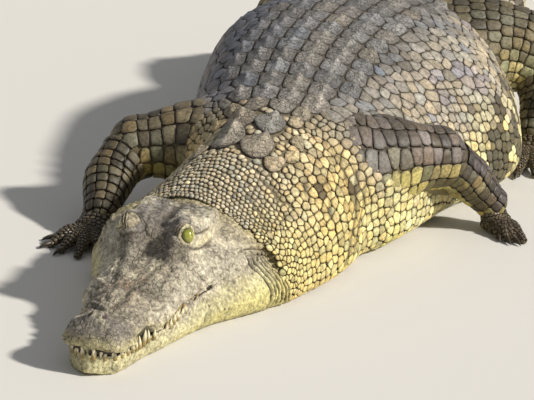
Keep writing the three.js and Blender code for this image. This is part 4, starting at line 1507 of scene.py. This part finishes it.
def cones(rows, sides=12, rings=9):
    """Curved cones, each given as (root, direction, length, radius, bend): rings along each axis shrink to
    a blunt point while the axis bends over."""
    t = np.linspace(0, 1, rings)
    r = (1 - t**1.7) ** 0.75
    r[-1] = 0.04
    roots, ways, lengths, radii, bends = [np.array(column) for column in zip(*rows)]
    axis = roots[:, None] + unit(ways)[:, None] * (lengths[:, None] * t)[..., None]
    axis = axis + bends[:, None] * (t**2)[None, :, None]
    ahead = unit(np.gradient(axis, axis=1))
    helper = np.array([0.3, 1.0, 0.2])
    across = unit(np.cross(ahead, helper))
    over = np.cross(ahead, across)
    a = full_turn(sides)
    ring = across[:, :, None] * np.cos(a)[:, None] + over[:, :, None] * np.sin(a)[:, None]
    p = axis[:, :, None] + ring * (radii[:, None] * r)[:, :, None, None]
    parts = []
    for k in range(len(p)):
        part = closed_grid(p[k])
        part["edge"] = np.append(np.repeat(t, sides), [0, 1])
        parts.append(part)
    return parts


# How deep a tooth's root sits in the gum.
SOCKET = 8


def teeth_parts():
    """Teeth in their sockets along both lips, the upper row hanging outside the lower lip, every tooth
    curved inwards, ivory at the tip and stained at the root."""
    rows = []
    for teeth, way in ((UPPER_TEETH, -1), (LOWER_TEETH, 1)):
        for s, length, radius in teeth:
            for side in (-1, 1):
                if way < 0:
                    w = min(upper_width(s), lower_width(s) + 3)
                    z = gum_above(s) + SOCKET
                else:
                    w = min(upper_width(s) + 3, lower_width(s))
                    z = gum_below(s) - SOCKET
                root = place(s, side * (w - radius * 0.75), z)
                h = float(heading(s))
                stray = 0.13 * math.sin(s * 1.7 + side)
                lean = np.array([side * (0.10 + 0.5 * stray) * math.cos(h), stray, float(way)])
                lean[1] -= 0.10 if s < 60 else 0.0
                bend = [-side * 0.12 * length, 0.10 * length, 0.0]
                rows.append((root, lean, length + SOCKET, radius * 1.2, bend))
    parts = cones(rows)
    for part in parts:
        part["tone"] = blend("98834f", "e6dcb8", smooth(part["edge"], 0.22, 0.6))
    return parts


def claw_parts():
    """Claws on the inner three digits: curved horn cones that start at the digit's end and touch down."""
    rows = []
    for limb in LIMBS.values():
        px, py = limb["palm"][:2]
        for k in range(CLAW_COUNT):
            a = digit_angle(limb, k)
            c, q = math.cos(a), math.sin(a)
            d = limb["digits"][k] - CLAW_LENGTH - 2
            root = [px + c * d, py + q * d, 10.0]
            rows.append((root, [c, q, 0.16], CLAW_LENGTH + 9, CLAW_RADIUS, [0.0, 0.0, -CLAW_HOOK]))
    parts = cones(rows, sides=14)
    for part in parts:
        part["points"][:, 2] = np.maximum(part["points"][:, 2], 0.2)
        part["tone"] = blend("4a3f30", "211b16", part["edge"])
    return parts


def eye_parts():
    """Eyeballs about their gaze: rings from the pupil outwards; the cornea stands a little proud. The
    colours are painted by angle: a slit pupil, yellow-green iris darker at its rim, dark sclera, and a
    painted shadow of the upper lid over the top of the iris and down one side."""
    parts = []
    for side in (-1, 1):
        rho = np.linspace(0.002, math.pi - 0.02, 72)[:, None]
        phi = full_turn(96)[None]
        radius = EYE["r"] - 0.5 + 0.9 * bell(rho / 0.55) + phi * 0
        part = closed_grid(eye_centre(side) + eye_way(side, rho, phi) * radius[..., None])
        x = (rho * np.cos(phi)).ravel()
        y = (rho * np.sin(phi)).ravel()
        r = np.hypot(x, y)
        slit = 1 - smooth(np.abs(x) / (0.06 * np.clip(1 - (y / 0.62) ** 2, 0.02, 1)), 0.8, 1.25)
        streak = noise(np.stack([np.arctan2(y, x) * 60, r * 12, r * 0], -1), 2.2, 71)
        tone = painted(
            "a8a63c",
            ("6f7830", np.clip(0.45 + 0.5 * streak, 0, 1)),
            ("c9c766", 0.5 * bell((r - 0.22) / 0.1)),
            ("55551c", 0.8 * smooth(r, 0.78, 0.98)),
            ("060606", slit * (1 - smooth(r, 0.62, 0.68))),
            ("4a4420", smooth(r, 1.0, 1.2)),
            # Painted shadow of the upper lid over the top of the iris, reaching down one side.
            ("1c1a0c", 0.6 * smooth(y + 0.35 * x * np.sign(side), 0.1, 0.95)),
        )
        part["tone"] = np.concatenate([tone, tone[:1], tone[-1:]])
        part["edge"] = np.append(r, [0, 3])
        parts.append(part)
    return parts


def web_part(limb):
    """Web between hind digits: a thin wavy sheet fanned from the palm, its edge drawn in between digits."""
    px, py = limb["palm"][:2]
    angles, reach = [], []
    for k, length in enumerate(limb["digits"]):
        a = digit_angle(limb, k)
        angles.append(a)
        reach.append(length * limb["web"])
        if k < len(limb["digits"]) - 1:
            angles.append((a + digit_angle(limb, k + 1)) / 2)
            reach.append(length * limb["web"] * 0.8)
    t = np.linspace(0, len(angles) - 1, 49)
    a = np.interp(t, np.arange(len(angles)), angles)
    r = np.interp(t, np.arange(len(angles)), reach)
    share = np.linspace(0.1, 1, 14)
    x = px + share[:, None] * r * np.cos(a)
    y = py + share[:, None] * r * np.sin(a)
    lump = 1.6 * np.cos(t * math.pi)[None] * share[:, None]
    top = np.stack([x, y, 9.5 + lump], -1)
    low = np.stack([x, y, 4.5 + lump * 0.5], -1)
    ring = np.concatenate([top, low[:, ::-1]], 1)
    return closed_grid(ring)


def crest_parts():
    """Fins along the tail: each rises slowly, leans back and drops steeply behind its peak; in cross section
    it is a lens that thins to its edge, with its foot sunk in the skin."""
    parts = []
    u = np.linspace(0, 1, 20)[:, None]
    rise = np.interp(u, [0, 0.12, 0.4, 0.66, 0.76, 0.88, 1], [0.0, 0.1, 0.52, 0.95, 1.0, 0.55, 0.0])
    a = full_turn(22)[None]
    up = np.maximum(np.sin(a), 0) ** 0.9
    for first, last, count, offset, low, high in CRESTS:
        pitch = (last - first) / count
        for k in range(count):
            peak = low + (high - low) * (k + 0.5) / count
            s = first + pitch * (k + 0.04 + 0.94 * u + 0.16 * up * rise)
            w, top, mid, power = body_width(s), body_top(s), body_mid(s), back_power(s)
            foot = mid + (top - mid) * (1 - abs(offset) ** power) ** (1 / power)
            thick = np.minimum(7, 0.45 * w) * np.sin(math.pi * np.clip(u, 0.02, 0.98)) ** 0.5
            x = offset * w + thick * np.cos(a) * (1 - 0.8 * up)
            z = foot - 3 + (peak * rise + 3) * up + 4 * np.minimum(np.sin(a), 0)
            ridge = 0.6 * np.cos(u * 40) * np.cos(a) * (1 - up)
            part = closed_grid(place(s, x + ridge, z))
            points, places = part["points"], np.append(s, [s[0, 0], s[-1, 0]])
            colour = body_markings(points, places, np.full(len(points), 0.1))
            lift = np.append(up * rise, [0, 0])
            part["tone"] = blend(colour, "5d5648", 0.35 + 0.3 * lift)
            part["edge"] = np.append((1 - up) * 0.5 + 0 * u, [0.5, 0.5])
            part["uv"] = np.stack([
                s[0, 0] / TOTAL + np.append(0.003 * (u + 0 * a), [0, 0.003]),
                0.5 + 0.1 * offset + np.append(0.003 * (up + 0 * u), [0, 0]),
            ], -1)
            parts.append(part)
    return parts


def foot_charts(limb):
    """Palm and digits of one foot as tubes of their own."""
    charts = {"palm": tube_chart(palm_path(limb), 30, 48, squash=0.62)}
    for k, path in enumerate(digit_paths(limb)):
        charts[f"digit_{k}"] = tube_chart(path, 44, 28)
    return charts


COAT = 3.8
LIMB_COAT = 3.6
FOOT_COAT = 2.0
TAIL_FUSED = 3480.0
LIMB_SCALES = {
    "fore_left_upper": (28, 47), "fore_left_lower": (25, 33),
    "fore_right_upper": (30, 44), "fore_right_lower": (25, 31),
    "hind_left_upper": (33, 30), "hind_left_lower": (25, 24),
    "hind_right_upper": (33, 30), "hind_right_lower": (25, 24),
}


def body_coat(i):
    """Scale depth along the body, thinner where the tail runs out."""
    return COAT * np.clip(body_width(BODY_FRONT + CHART_STEP * i) / 40, 0.12, 1)


def limb_tone(name, chart):
    """Colour of each limb scale, from the markings at its root and how far it faces up; the right fore
    limb is darkened as painted shade.
    """
    def tone(seeds, root, rng):
        up = chart.read(chart.normal, seeds["i"], seeds["j"])[..., 2]
        shaded = 0.7 if name.startswith("fore_right") else 1.0
        return varied(limb_markings(name, root, up) * shaded, rng, 0.21)
    return tone


def by_half(names):
    """Fore and hind names, each half in its own order."""
    return [(half, [name for name in names if name.startswith(half)]) for half in ("fore", "hind")]


def limb_scales(name, half, rng):
    """Scales of one part of a limb: square plates in rows round it, in line on the fore limbs and staggered
    on the hind ones."""
    chart = CHARTS[name]
    gap, wide = LIMB_SCALES[name]
    fore = half == "fore"
    slip = 0.0 if fore else 0.5
    i, j, r = bands(chart, 4, chart.length[-1] - 4, gap, wide, rng, stagger=slip, jitter=0.08, fixed=fore)
    r = r * rng.uniform(0.9, 1.08, len(r))
    seeds = sow(i, j, r=r, h=3.6, keel=0.8, tilt=2.0, gap=1.1, square=20, cap=1.7)
    return scales(chart, name, seeds, seeds, rng, limb_tone(name, chart), LIMB_COAT, 14)


def foot_scales(name, rng):
    """Small scales of one foot's palm and digits, left off where they would touch the floor."""
    parts = []
    for label, chart in foot_charts(LIMBS[name]).items():
        first, gap, wide = (12, 11.0, 10.5) if label == "palm" else (3, 9.5, 8.5)
        i, j, r = bands(chart, first, chart.length[-1] - 2, gap, wide, rng, jitter=0.12)
        seeds = sow(i, j, r=r, h=2.0, keel=0.3, tilt=0.6, gap=0.9, square=9)
        seeds = seeds[chart.at(i, j, np.zeros(len(i)))[:, 2] > 1.5]
        tone = limb_tone(name + "_foot", chart)
        parts.append(scales(chart, name + "_foot", seeds, seeds, rng, tone, FOOT_COAT, 8))
    return parts


def skin_part():
    """One skin for the whole animal: the body and limb tubes fused and eased, finer feet, webs, tail tip,
    and the sculpted head, whose back end lies under the nape scales."""
    first = (NECK_FRONT - BODY_FRONT) / CHART_STEP
    tail = (TAIL_FUSED - BODY_FRONT) / CHART_STEP
    tubes = [bare_tube(BODY_CHART, body_coat, first, tail, column_step=2, name="body")]
    for name, chart in CHARTS.items():
        tubes.append(bare_tube(chart, LIMB_COAT, column_step=2, name=name))
    trunk = fused(tubes, 0.0138, 3)
    tip = bare_tube(BODY_CHART, body_coat, tail - 6, row_step=1.5, column_step=6)
    coarse = [trunk, tip]
    for limb in LIMBS.values():
        feet = [bare_tube(chart, FOOT_COAT) for chart in foot_charts(limb).values()]
        if limb["web"]:
            feet.append(web_part(limb))
        coarse.append(fused(feet, 0.0052, 2))
    for part in coarse:
        part["points"][:, 2] = np.maximum(part["points"][:, 2], 0.5)
        part["tone"] = skin_tone(part["points"])
        # Edge value for the material's painted shade over the bare skin, which shows only in the gaps.
        part["edge"] = np.full(len(part["points"]), 0.45)
    for part in coarse[2:]:
        part["tone"] = blend(part["tone"], linear(TONES["hand"]) * 0.7, 0.6)
    return coarse, head_skin()


# ---- finishes ----


def put(tree, kind, links=None, **values):
    """Adds a shader node: plain values go to its settings, links to its inputs by name or number."""
    item = tree.nodes.new("ShaderNode" + kind)
    for key, value in values.items():
        setattr(item, key, value)
    for key, value in (links or {}).items():
        socket = item.inputs[key]
        if isinstance(value, bpy.types.NodeSocket):
            tree.links.new(value, socket)
        else:
            socket.default_value = value
    return item


def sum_node(tree, operation, a, b=0.0, clamp=False):
    """One sum of two values."""
    return put(tree, "Math", {0: a, 1: b}, operation=operation, use_clamp=clamp).outputs[0]


def ramp(tree, value, low, high, start=0.0, end=1.0):
    """Soft rise of a value from start to end between low and high."""
    links = {0: value, 1: low, 2: high, 3: start, 4: end}
    return put(tree, "MapRange", links, interpolation_type="SMOOTHSTEP").outputs[0]


def mix_colour(tree, share, a, b, kind="MIX"):
    """Mixes colour b over a."""
    item = put(tree, "Mix", {0: share, 6: a, 7: b}, data_type="RGBA", blend_type=kind)
    return item.outputs[2]


HIDE_INPUTS = {
    "Crease Shade": 0.0, "Crack Scale": 170.0, "Crack": 0.5, "Crack Width": 0.075, "Mottle": 0.5, "Mud": 0.3,
    "Pits": 0.3, "Wet": 0.0,
}
MUD = (0.46, 0.41, 0.31, 1)
# Near-black brown laid into cracks and pits as dirt, and into creases, grooves and rims as painted shade.
GRIME_AND_SHADE = (0.035, 0.026, 0.016, 1)


def hide_group():
    """Reptile hide: takes the base tone and gives colour, roughness and height. Broad and fine mottling
    shift the tone, a warped net of fine cracks darkens and sinks, small pits dot it, pale dried mud lies
    on top in patches, and painted shade darkens creases, grooves and scale rims by the crease shade value."""
    tree = bpy.data.node_groups.new("reptile_hide", "ShaderNodeTree")
    face = tree.interface
    face.new_socket("Tone", in_out="INPUT", socket_type="NodeSocketColor")
    for label, value in HIDE_INPUTS.items():
        socket = face.new_socket(label, in_out="INPUT", socket_type="NodeSocketFloat")
        socket.default_value = value
    for label, kind in (("Color", "Color"), ("Roughness", "Float"), ("Height", "Float")):
        face.new_socket(label, in_out="OUTPUT", socket_type="NodeSocket" + kind)
    given = tree.nodes.new("NodeGroupInput").outputs
    result = tree.nodes.new("NodeGroupOutput").inputs
    times, plus, minus, over, most = [
        partial(sum_node, tree, kind) for kind in ("MULTIPLY", "ADD", "SUBTRACT", "DIVIDE", "MAXIMUM")
    ]
    where = put(tree, "TexCoord").outputs["Object"]
    broad, fine, dust, grain, warp = [
        put(tree, "TexNoise", {"Vector": where, "Scale": scale, "Detail": detail, "Roughness": rough}).outputs
        for scale, detail, rough in (
            (17.0, 4.0, 0.6), (130.0, 6.0, 0.65), (46.0, 7.0, 0.7), (620.0, 3.0, 0.5), (70.0, 3.0, 0.5),
        )
    ]
    broad, fine, dust, grain = broad[0], fine[0], dust[0], grain[0]
    shift = put(tree, "VectorMath", {0: warp["Color"], "Scale": 0.005}, operation="SCALE").outputs[0]
    bent = put(tree, "VectorMath", {0: where, 1: shift}, operation="ADD").outputs[0]
    level = put(tree, "RGBToBW", {"Color": given["Tone"]}).outputs[0]

    lines = []
    for start, scale in ((1.0, given["Crack Scale"]), (0.34, times(given["Crack Scale"], 2.3))):
        net = put(tree, "TexVoronoi", {"Vector": bent, "Scale": scale}, feature="DISTANCE_TO_EDGE")
        lines.append(minus(start, over(net.outputs["Distance"], given["Crack Width"]), clamp=True))
    line = times(most(*lines), ramp(tree, dust, 0.36, 0.62))
    line = times(line, ramp(tree, level, 0.3, 0.5, 1.0, 0.35))
    line = times(line, given["Crack"], clamp=True)
    dots = put(tree, "TexVoronoi", {"Vector": where, "Scale": 210.0}).outputs["Distance"]
    pit = times(ramp(tree, dots, 0.04, 0.34, 0.9, 0.0), ramp(tree, broad, 0.42, 0.6))
    pit = times(pit, given["Pits"])

    spread = minus(fine, 0.5)
    both = plus(times(spread, 3.2), times(minus(broad, 0.5), 1.2))
    gain = plus(times(both, given["Mottle"]), 1.0)
    toned = put(tree, "VectorMath", {0: given["Tone"], "Scale": gain}, operation="SCALE").outputs[0]
    mud = times(ramp(tree, dust, 0.5, 0.72), given["Mud"])
    # Painted shade in creases, grooves and scale rims, by the crease shade value.
    deep = ramp(tree, given["Crease Shade"], 0.2, 1.0, 0.0, 0.9)
    colour = mix_colour(tree, most(most(line, pit), deep), mix_colour(tree, mud, toned, MUD), GRIME_AND_SHADE)
    tree.links.new(colour, result["Color"])

    rough = plus(plus(times(spread, 0.5), 0.66), times(mud, 0.2))
    shine = times(given["Wet"], ramp(tree, level, 0.03, 0.2, 0.5, 0.1))
    tree.links.new(minus(rough, shine, clamp=True), result["Roughness"])
    high = plus(plus(times(fine, 0.9), times(grain, 0.22)), times(mud, 0.25))
    high = minus(minus(high, times(line, 0.9)), times(pit, 0.5))
    tree.links.new(high, result["Height"])
    return tree


def plain_material(name):
    """New material with its node tree and its main shader."""
    material = bpy.data.materials.new(name)
    material.use_nodes = True
    return material, material.node_tree, material.node_tree.nodes["Principled BSDF"]


def hide_material(name, relief, specular, depth=0.0014, **values):
    """Hide finish on the painted tone, with its bump of a given depth."""
    material, tree, shader = plain_material(name)
    group = tree.nodes.new("ShaderNodeGroup")
    group.node_tree = bpy.data.node_groups.get("reptile_hide") or hide_group()
    tone = put(tree, "Attribute", attribute_name="tone").outputs["Color"]
    # The edge attribute carries the painted shade of creases, grooves and rims.
    fold = put(tree, "Attribute", attribute_name="edge").outputs["Fac"]
    tree.links.new(tone, group.inputs["Tone"])
    tree.links.new(fold, group.inputs["Crease Shade"])
    for key, value in values.items():
        group.inputs[key.replace("_", " ")].default_value = value
    tree.links.new(group.outputs["Color"], shader.inputs["Base Color"])
    tree.links.new(group.outputs["Roughness"], shader.inputs["Roughness"])
    bump = put(tree, "Bump", {"Strength": relief, "Distance": depth, "Height": group.outputs["Height"]})
    tree.links.new(bump.outputs[0], shader.inputs["Normal"])
    shader.inputs["Specular IOR Level"].default_value = specular
    return material


def streaked(tree, shader, scale, detail, dim, bright, matt, glossy, stretch=None):
    """Painted tone made lighter and darker by one noise, which also shifts the roughness; gives the noise."""
    tone = put(tree, "Attribute", attribute_name="tone").outputs["Color"]
    where = put(tree, "TexCoord").outputs["Object"]
    if stretch:
        where = put(tree, "Mapping", {"Vector": where, "Scale": stretch}).outputs[0]
    streak = put(tree, "TexNoise", {"Vector": where, "Scale": scale, "Detail": detail}).outputs[0]
    gain = ramp(tree, streak, 0.3, 0.7, dim, bright)
    colour = put(tree, "VectorMath", {0: tone, "Scale": gain}, operation="SCALE").outputs[0]
    tree.links.new(colour, shader.inputs["Base Color"])
    tree.links.new(ramp(tree, streak, 0.3, 0.7, matt, glossy), shader.inputs["Roughness"])
    return streak


def horn_material(name, roughness, scale, stretch):
    """Horn or ivory on the painted tone: long fine streaks in colour and bump."""
    material, tree, shader = plain_material(name)
    streak = streaked(tree, shader, scale, 5.0, 0.72, 1.1, roughness + 0.1, roughness - 0.05, stretch)
    bump = put(tree, "Bump", {"Strength": 0.25, "Distance": 0.0006, "Height": streak})
    tree.links.new(bump.outputs[0], shader.inputs["Normal"])
    return material


def eye_material():
    """Moist eye: the painted iris under a clear glossy coat."""
    material, tree, shader = plain_material("moist_eye")
    streaked(tree, shader, 900.0, 4.0, 0.85, 1.12, 0.14, 0.22)
    shader.inputs["Coat Weight"].default_value = 0.8
    shader.inputs["Coat Roughness"].default_value = 0.04
    return material


# ---- settings ----


class CrocodileScene(bpy.types.PropertyGroup):
    """Sizes and light that a user would change."""

    lens: bpy.props.FloatProperty(
        name="Lens", description="Focal length of the camera", default=262.1, min=20, unit="CAMERA"
    )
    distance: bpy.props.FloatProperty(
        name="Distance", description="Camera to target", default=8.0, min=1, unit="LENGTH"
    )
    azimuth: bpy.props.FloatProperty(
        name="Azimuth", description="Camera turn round the model", default=math.radians(14.8), subtype="ANGLE"
    )
    elevation: bpy.props.FloatProperty(
        name="Elevation", description="Camera height angle", default=math.radians(18.0), subtype="ANGLE"
    )
    roll: bpy.props.FloatProperty(
        name="Roll", description="Camera roll about its own axis", default=math.radians(6.0), subtype="ANGLE"
    )
    target: bpy.props.FloatVectorProperty(
        name="Target", description="Point the camera looks at", size=3,
        default=(0.1403, -1.8377, 0.344), subtype="TRANSLATION", unit="LENGTH",
    )
    key: bpy.props.FloatProperty(name="Key light", description="Strength of the soft key", default=4.8, min=0)
    fill: bpy.props.FloatProperty(
        name="Fill light", description="Strength of the surround", default=0.35, min=0
    )
    floor_colour: bpy.props.FloatVectorProperty(
        name="Floor", description="Colour of the floor", size=3, subtype="COLOR", default=(0.62, 0.60, 0.57)
    )


class CrocodileHide(bpy.types.PropertyGroup):
    """Finish of skin and scales."""

    mud: bpy.props.FloatProperty(
        name="Dried mud", description="Pale mud on the head", default=0.4, min=0, max=1
    )
    relief: bpy.props.FloatProperty(
        name="Relief", description="Strength of the bump", default=0.55, min=0, max=1
    )
    seed: bpy.props.IntProperty(name="Seed", description="Layout of the scales", default=7, min=0)


class CROC_OT_skin(bpy.types.Operator):
    """Makes the one skin that stands for all flesh"""

    bl_idname = "croc.skin"
    bl_label = "Skin"

    def execute(self, context):
        hide = context.scene.croc_hide
        coarse, head = skin_part()
        rims = lids()
        whole = merged(coarse + [head] + rims)
        flesh = [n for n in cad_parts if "claw" not in n and "eye" not in n]
        face = hide_material(
            "head_hide", 0.95, 0.4, 0.0028, Crack=0.75, Crack_Scale=82.0, Crack_Width=0.15, Mottle=1.05,
            Mud=0.7 * hide.mud, Pits=0.8,
        )
        fold = hide_material("fold_skin", 0.5, 0.3, Crack=0.3, Crack_Scale=260.0, Mud=0.1, Pits=0.0)
        piece = make_piece("skin", whole, fold, flesh)
        piece.data.materials.append(face)
        split = sum(len(part["points"]) for part in coarse)
        first = values_of(piece.data.polygons, "loop_start")
        corner = values_of(piece.data.loops, "vertex_index")
        piece.data.polygons.foreach_set("material_index", (corner[first] >= split).astype(np.int32))
        piece.data.update()
        return {"FINISHED"}


class CROC_OT_eyes(bpy.types.Operator):
    """Makes the two eyeballs"""

    bl_idname = "croc.eyes"
    bl_label = "Eyes"

    def execute(self, context):
        material = eye_material()
        for part, name in zip(eye_parts(), ("eye_right", "eye_left")):
            make_piece(name + "_ball", part, material, [name])
        return {"FINISHED"}


class CROC_OT_teeth(bpy.types.Operator):
    """Sets the teeth along both lips"""

    bl_idname = "croc.teeth"
    bl_label = "Teeth"

    def execute(self, context):
        material = horn_material("ivory", 0.36, 60.0, (6.0, 6.0, 1.0))
        make_piece("teeth", merged(teeth_parts()), material)
        return {"FINISHED"}


class CROC_OT_claws(bpy.types.Operator):
    """Makes the claws of all four feet"""

    bl_idname = "croc.claws"
    bl_label = "Claws"

    def execute(self, context):
        material = horn_material("claw_horn", 0.4, 90.0, (1.0, 1.0, 3.0))
        names = [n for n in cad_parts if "claw" in n]
        make_piece("claws", merged(claw_parts()), material, names)
        return {"FINISHED"}


class CROC_OT_body_scales(bpy.types.Operator):
    """Lays the scales of neck, back, flanks, belly and tail"""

    bl_idname = "croc.body_scales"
    bl_label = "Body scales"

    def execute(self, context):
        hide = context.scene.croc_hide
        rng = np.random.default_rng(hide.seed)
        everyone = body_seeds(rng)
        small = hide_material(
            "small_scale", hide.relief, 0.35, Crack=0.4, Crack_Width=0.12, Mottle=0.85, Mud=0.2, Pits=0.2
        )
        plate = hide_material(
            "back_plate", 1.0, 0.4, 0.003, Crack=0.8, Crack_Scale=88.0, Crack_Width=0.14, Mottle=1.0,
            Mud=0.35, Pits=0.6,
        )
        for name, kinds, angles, profile, material in (
            ("nape_scales", (NAPE,), 10, DOME_PROFILE, small),
            ("neck_scales", (SIDE,), 12, PROFILE, small),
            ("nape_plates", (NUCHAL,), 28, FINE_PROFILE, plate),
            ("back_plates", (SCUTE,), 24, FINE_PROFILE, plate),
            ("flank_scales", (FLANK,), 12, PROFILE, small),
            ("belly_scales", (BELLY,), 12, PROFILE, small),
            ("tail_scales", (TAIL,), 10, PROFILE, small),
        ):
            chosen = everyone[np.isin(everyone["kind"], kinds)]
            part = scales(
                BODY_CHART, "body", chosen, everyone, rng, body_tone, body_coat, angles, profile
            )
            make_piece(name, merged(fit_map([part])), material)
        return {"FINISHED"}


class CROC_OT_tail_crest(bpy.types.Operator):
    """Makes the double and single rows of fins on the tail"""

    bl_idname = "croc.tail_crest"
    bl_label = "Tail crest"

    def execute(self, context):
        hide = context.scene.croc_hide
        fin = hide_material("tail_fin", hide.relief, 0.4, Crack=0.4, Crack_Scale=150.0, Mottle=0.6, Mud=0.2)
        make_piece("tail_crest", merged(fit_map([merged(crest_parts())])), fin)
        return {"FINISHED"}


class CROC_OT_limb_scales(bpy.types.Operator):
    """Lays the scales of the four limbs"""

    bl_idname = "croc.limb_scales"
    bl_label = "Limb scales"

    def execute(self, context):
        hide = context.scene.croc_hide
        rng = np.random.default_rng(hide.seed + 1)
        small = hide_material(
            "limb_scale", hide.relief, 0.4, Crack_Width=0.12, Mottle=0.9, Mud=0.15, Wet=0.45
        )
        for half, names in by_half(LIMB_SCALES):
            parts = [limb_scales(name, half, rng) for name in names]
            make_piece(half + "_limb_scales", merged(fit_map(parts)), small)
        return {"FINISHED"}


class CROC_OT_foot_scales(bpy.types.Operator):
    """Lays the small scales of hands, feet and digits"""

    bl_idname = "croc.foot_scales"
    bl_label = "Foot scales"

    def execute(self, context):
        hide = context.scene.croc_hide
        rng = np.random.default_rng(hide.seed + 2)
        wet = hide_material("foot_scale", hide.relief, 0.5, Crack=0.3, Mottle=0.5, Mud=0.1, Pits=0.0, Wet=0.8)
        for half, names in by_half(LIMBS):
            parts = [part for name in names for part in foot_scales(name, rng)]
            make_piece(half + "_foot_scales", merged(fit_map(parts)), wet)
        return {"FINISHED"}


FLOOR_HALF = 30.0


class CROC_OT_stage(bpy.types.Operator):
    """Sets the floor, the soft studio light and the camera"""

    bl_idname = "croc.stage"
    bl_label = "Stage"

    def execute(self, context):
        setup = context.scene.croc_scene
        mesh = bpy.data.meshes.new("floor")
        corners = [(x * FLOOR_HALF, y * FLOOR_HALF, 0) for x, y in ((-1, -1), (1, -1), (1, 1), (-1, 1))]
        mesh.from_pydata(corners, [], [(0, 1, 2, 3)])
        floor = linked("floor", mesh)
        paint, _, shader = plain_material("studio_floor")
        shader.inputs["Base Color"].default_value = (*setup.floor_colour, 1)
        shader.inputs["Roughness"].default_value = 0.8
        mesh.materials.append(paint)

        world = bpy.data.worlds.new("studio")
        world.use_nodes = True
        world.node_tree.nodes["Background"].inputs[0].default_value = (0.93, 0.96, 1.0, 1)
        world.node_tree.nodes["Background"].inputs[1].default_value = setup.fill
        context.scene.world = world

        a, e, r = setup.azimuth, setup.elevation, setup.roll
        back = Vector((math.sin(a) * math.cos(e), -math.cos(a) * math.cos(e), math.sin(e)))
        right = Vector((math.cos(a), math.sin(a), 0))
        up = back.cross(right)
        across = math.cos(r) * right + math.sin(r) * up
        over = -math.sin(r) * right + math.cos(r) * up
        target = Vector(setup.target)

        key = bpy.data.lights.new("key", "SUN")
        key.energy = setup.key
        key.angle = math.radians(5)
        key.color = (1.0, 0.96, 0.88)
        lamp = linked("key", key)
        way = (right * 1.15 + Vector((0, 0, 0.85)) + back * 0.25).normalized()
        lamp.rotation_mode = "QUATERNION"
        lamp.rotation_quaternion = way.to_track_quat("Z", "Y")

        camera = bpy.data.cameras.new("camera")
        camera.lens = setup.lens
        camera.sensor_width = 36.0
        view = linked("camera", camera)
        spot = target + back * setup.distance
        view.matrix_world = Matrix((
            (across.x, over.x, back.x, spot.x),
            (across.y, over.y, back.y, spot.y),
            (across.z, over.z, back.z, spot.z),
            (0, 0, 0, 1),
        ))
        camera.clip_start = 0.1
        camera.clip_end = 200
        context.scene.camera = view
        context.scene.view_settings.view_transform = "Standard"
        return {"FINISHED"}


class CROC_PT_panel(bpy.types.Panel):
    """Lists the settings and the making steps"""

    bl_idname = "CROC_PT_panel"
    bl_label = "Crocodile"
    bl_space_type = "VIEW_3D"
    bl_region_type = "UI"
    bl_category = "Crocodile"

    def draw(self, context):
        for group in (context.scene.croc_scene, context.scene.croc_hide):
            for key in group.bl_rna.properties.keys():
                if key not in {"rna_type", "name"}:
                    self.layout.prop(group, key)
        for step in STEPS:
            self.layout.operator(step.bl_idname)


STEPS = (
    CROC_OT_stage, CROC_OT_skin, CROC_OT_eyes, CROC_OT_teeth, CROC_OT_claws,
    CROC_OT_body_scales, CROC_OT_tail_crest, CROC_OT_limb_scales, CROC_OT_foot_scales,
)
CLASSES = (CrocodileScene, CrocodileHide) + STEPS + (CROC_PT_panel,)


def register():
    for item in CLASSES:
        bpy.utils.register_class(item)
    bpy.types.Scene.croc_scene = bpy.props.PointerProperty(type=CrocodileScene)
    bpy.types.Scene.croc_hide = bpy.props.PointerProperty(type=CrocodileHide)


def unregister():
    del bpy.types.Scene.croc_hide
    del bpy.types.Scene.croc_scene
    for item in reversed(CLASSES):
        bpy.utils.unregister_class(item)


def main():
    register()
    for step in STEPS:
        group, name = step.bl_idname.split(".")
        getattr(getattr(bpy.ops, group), name)()


if __name__ == "__main__":
    main()
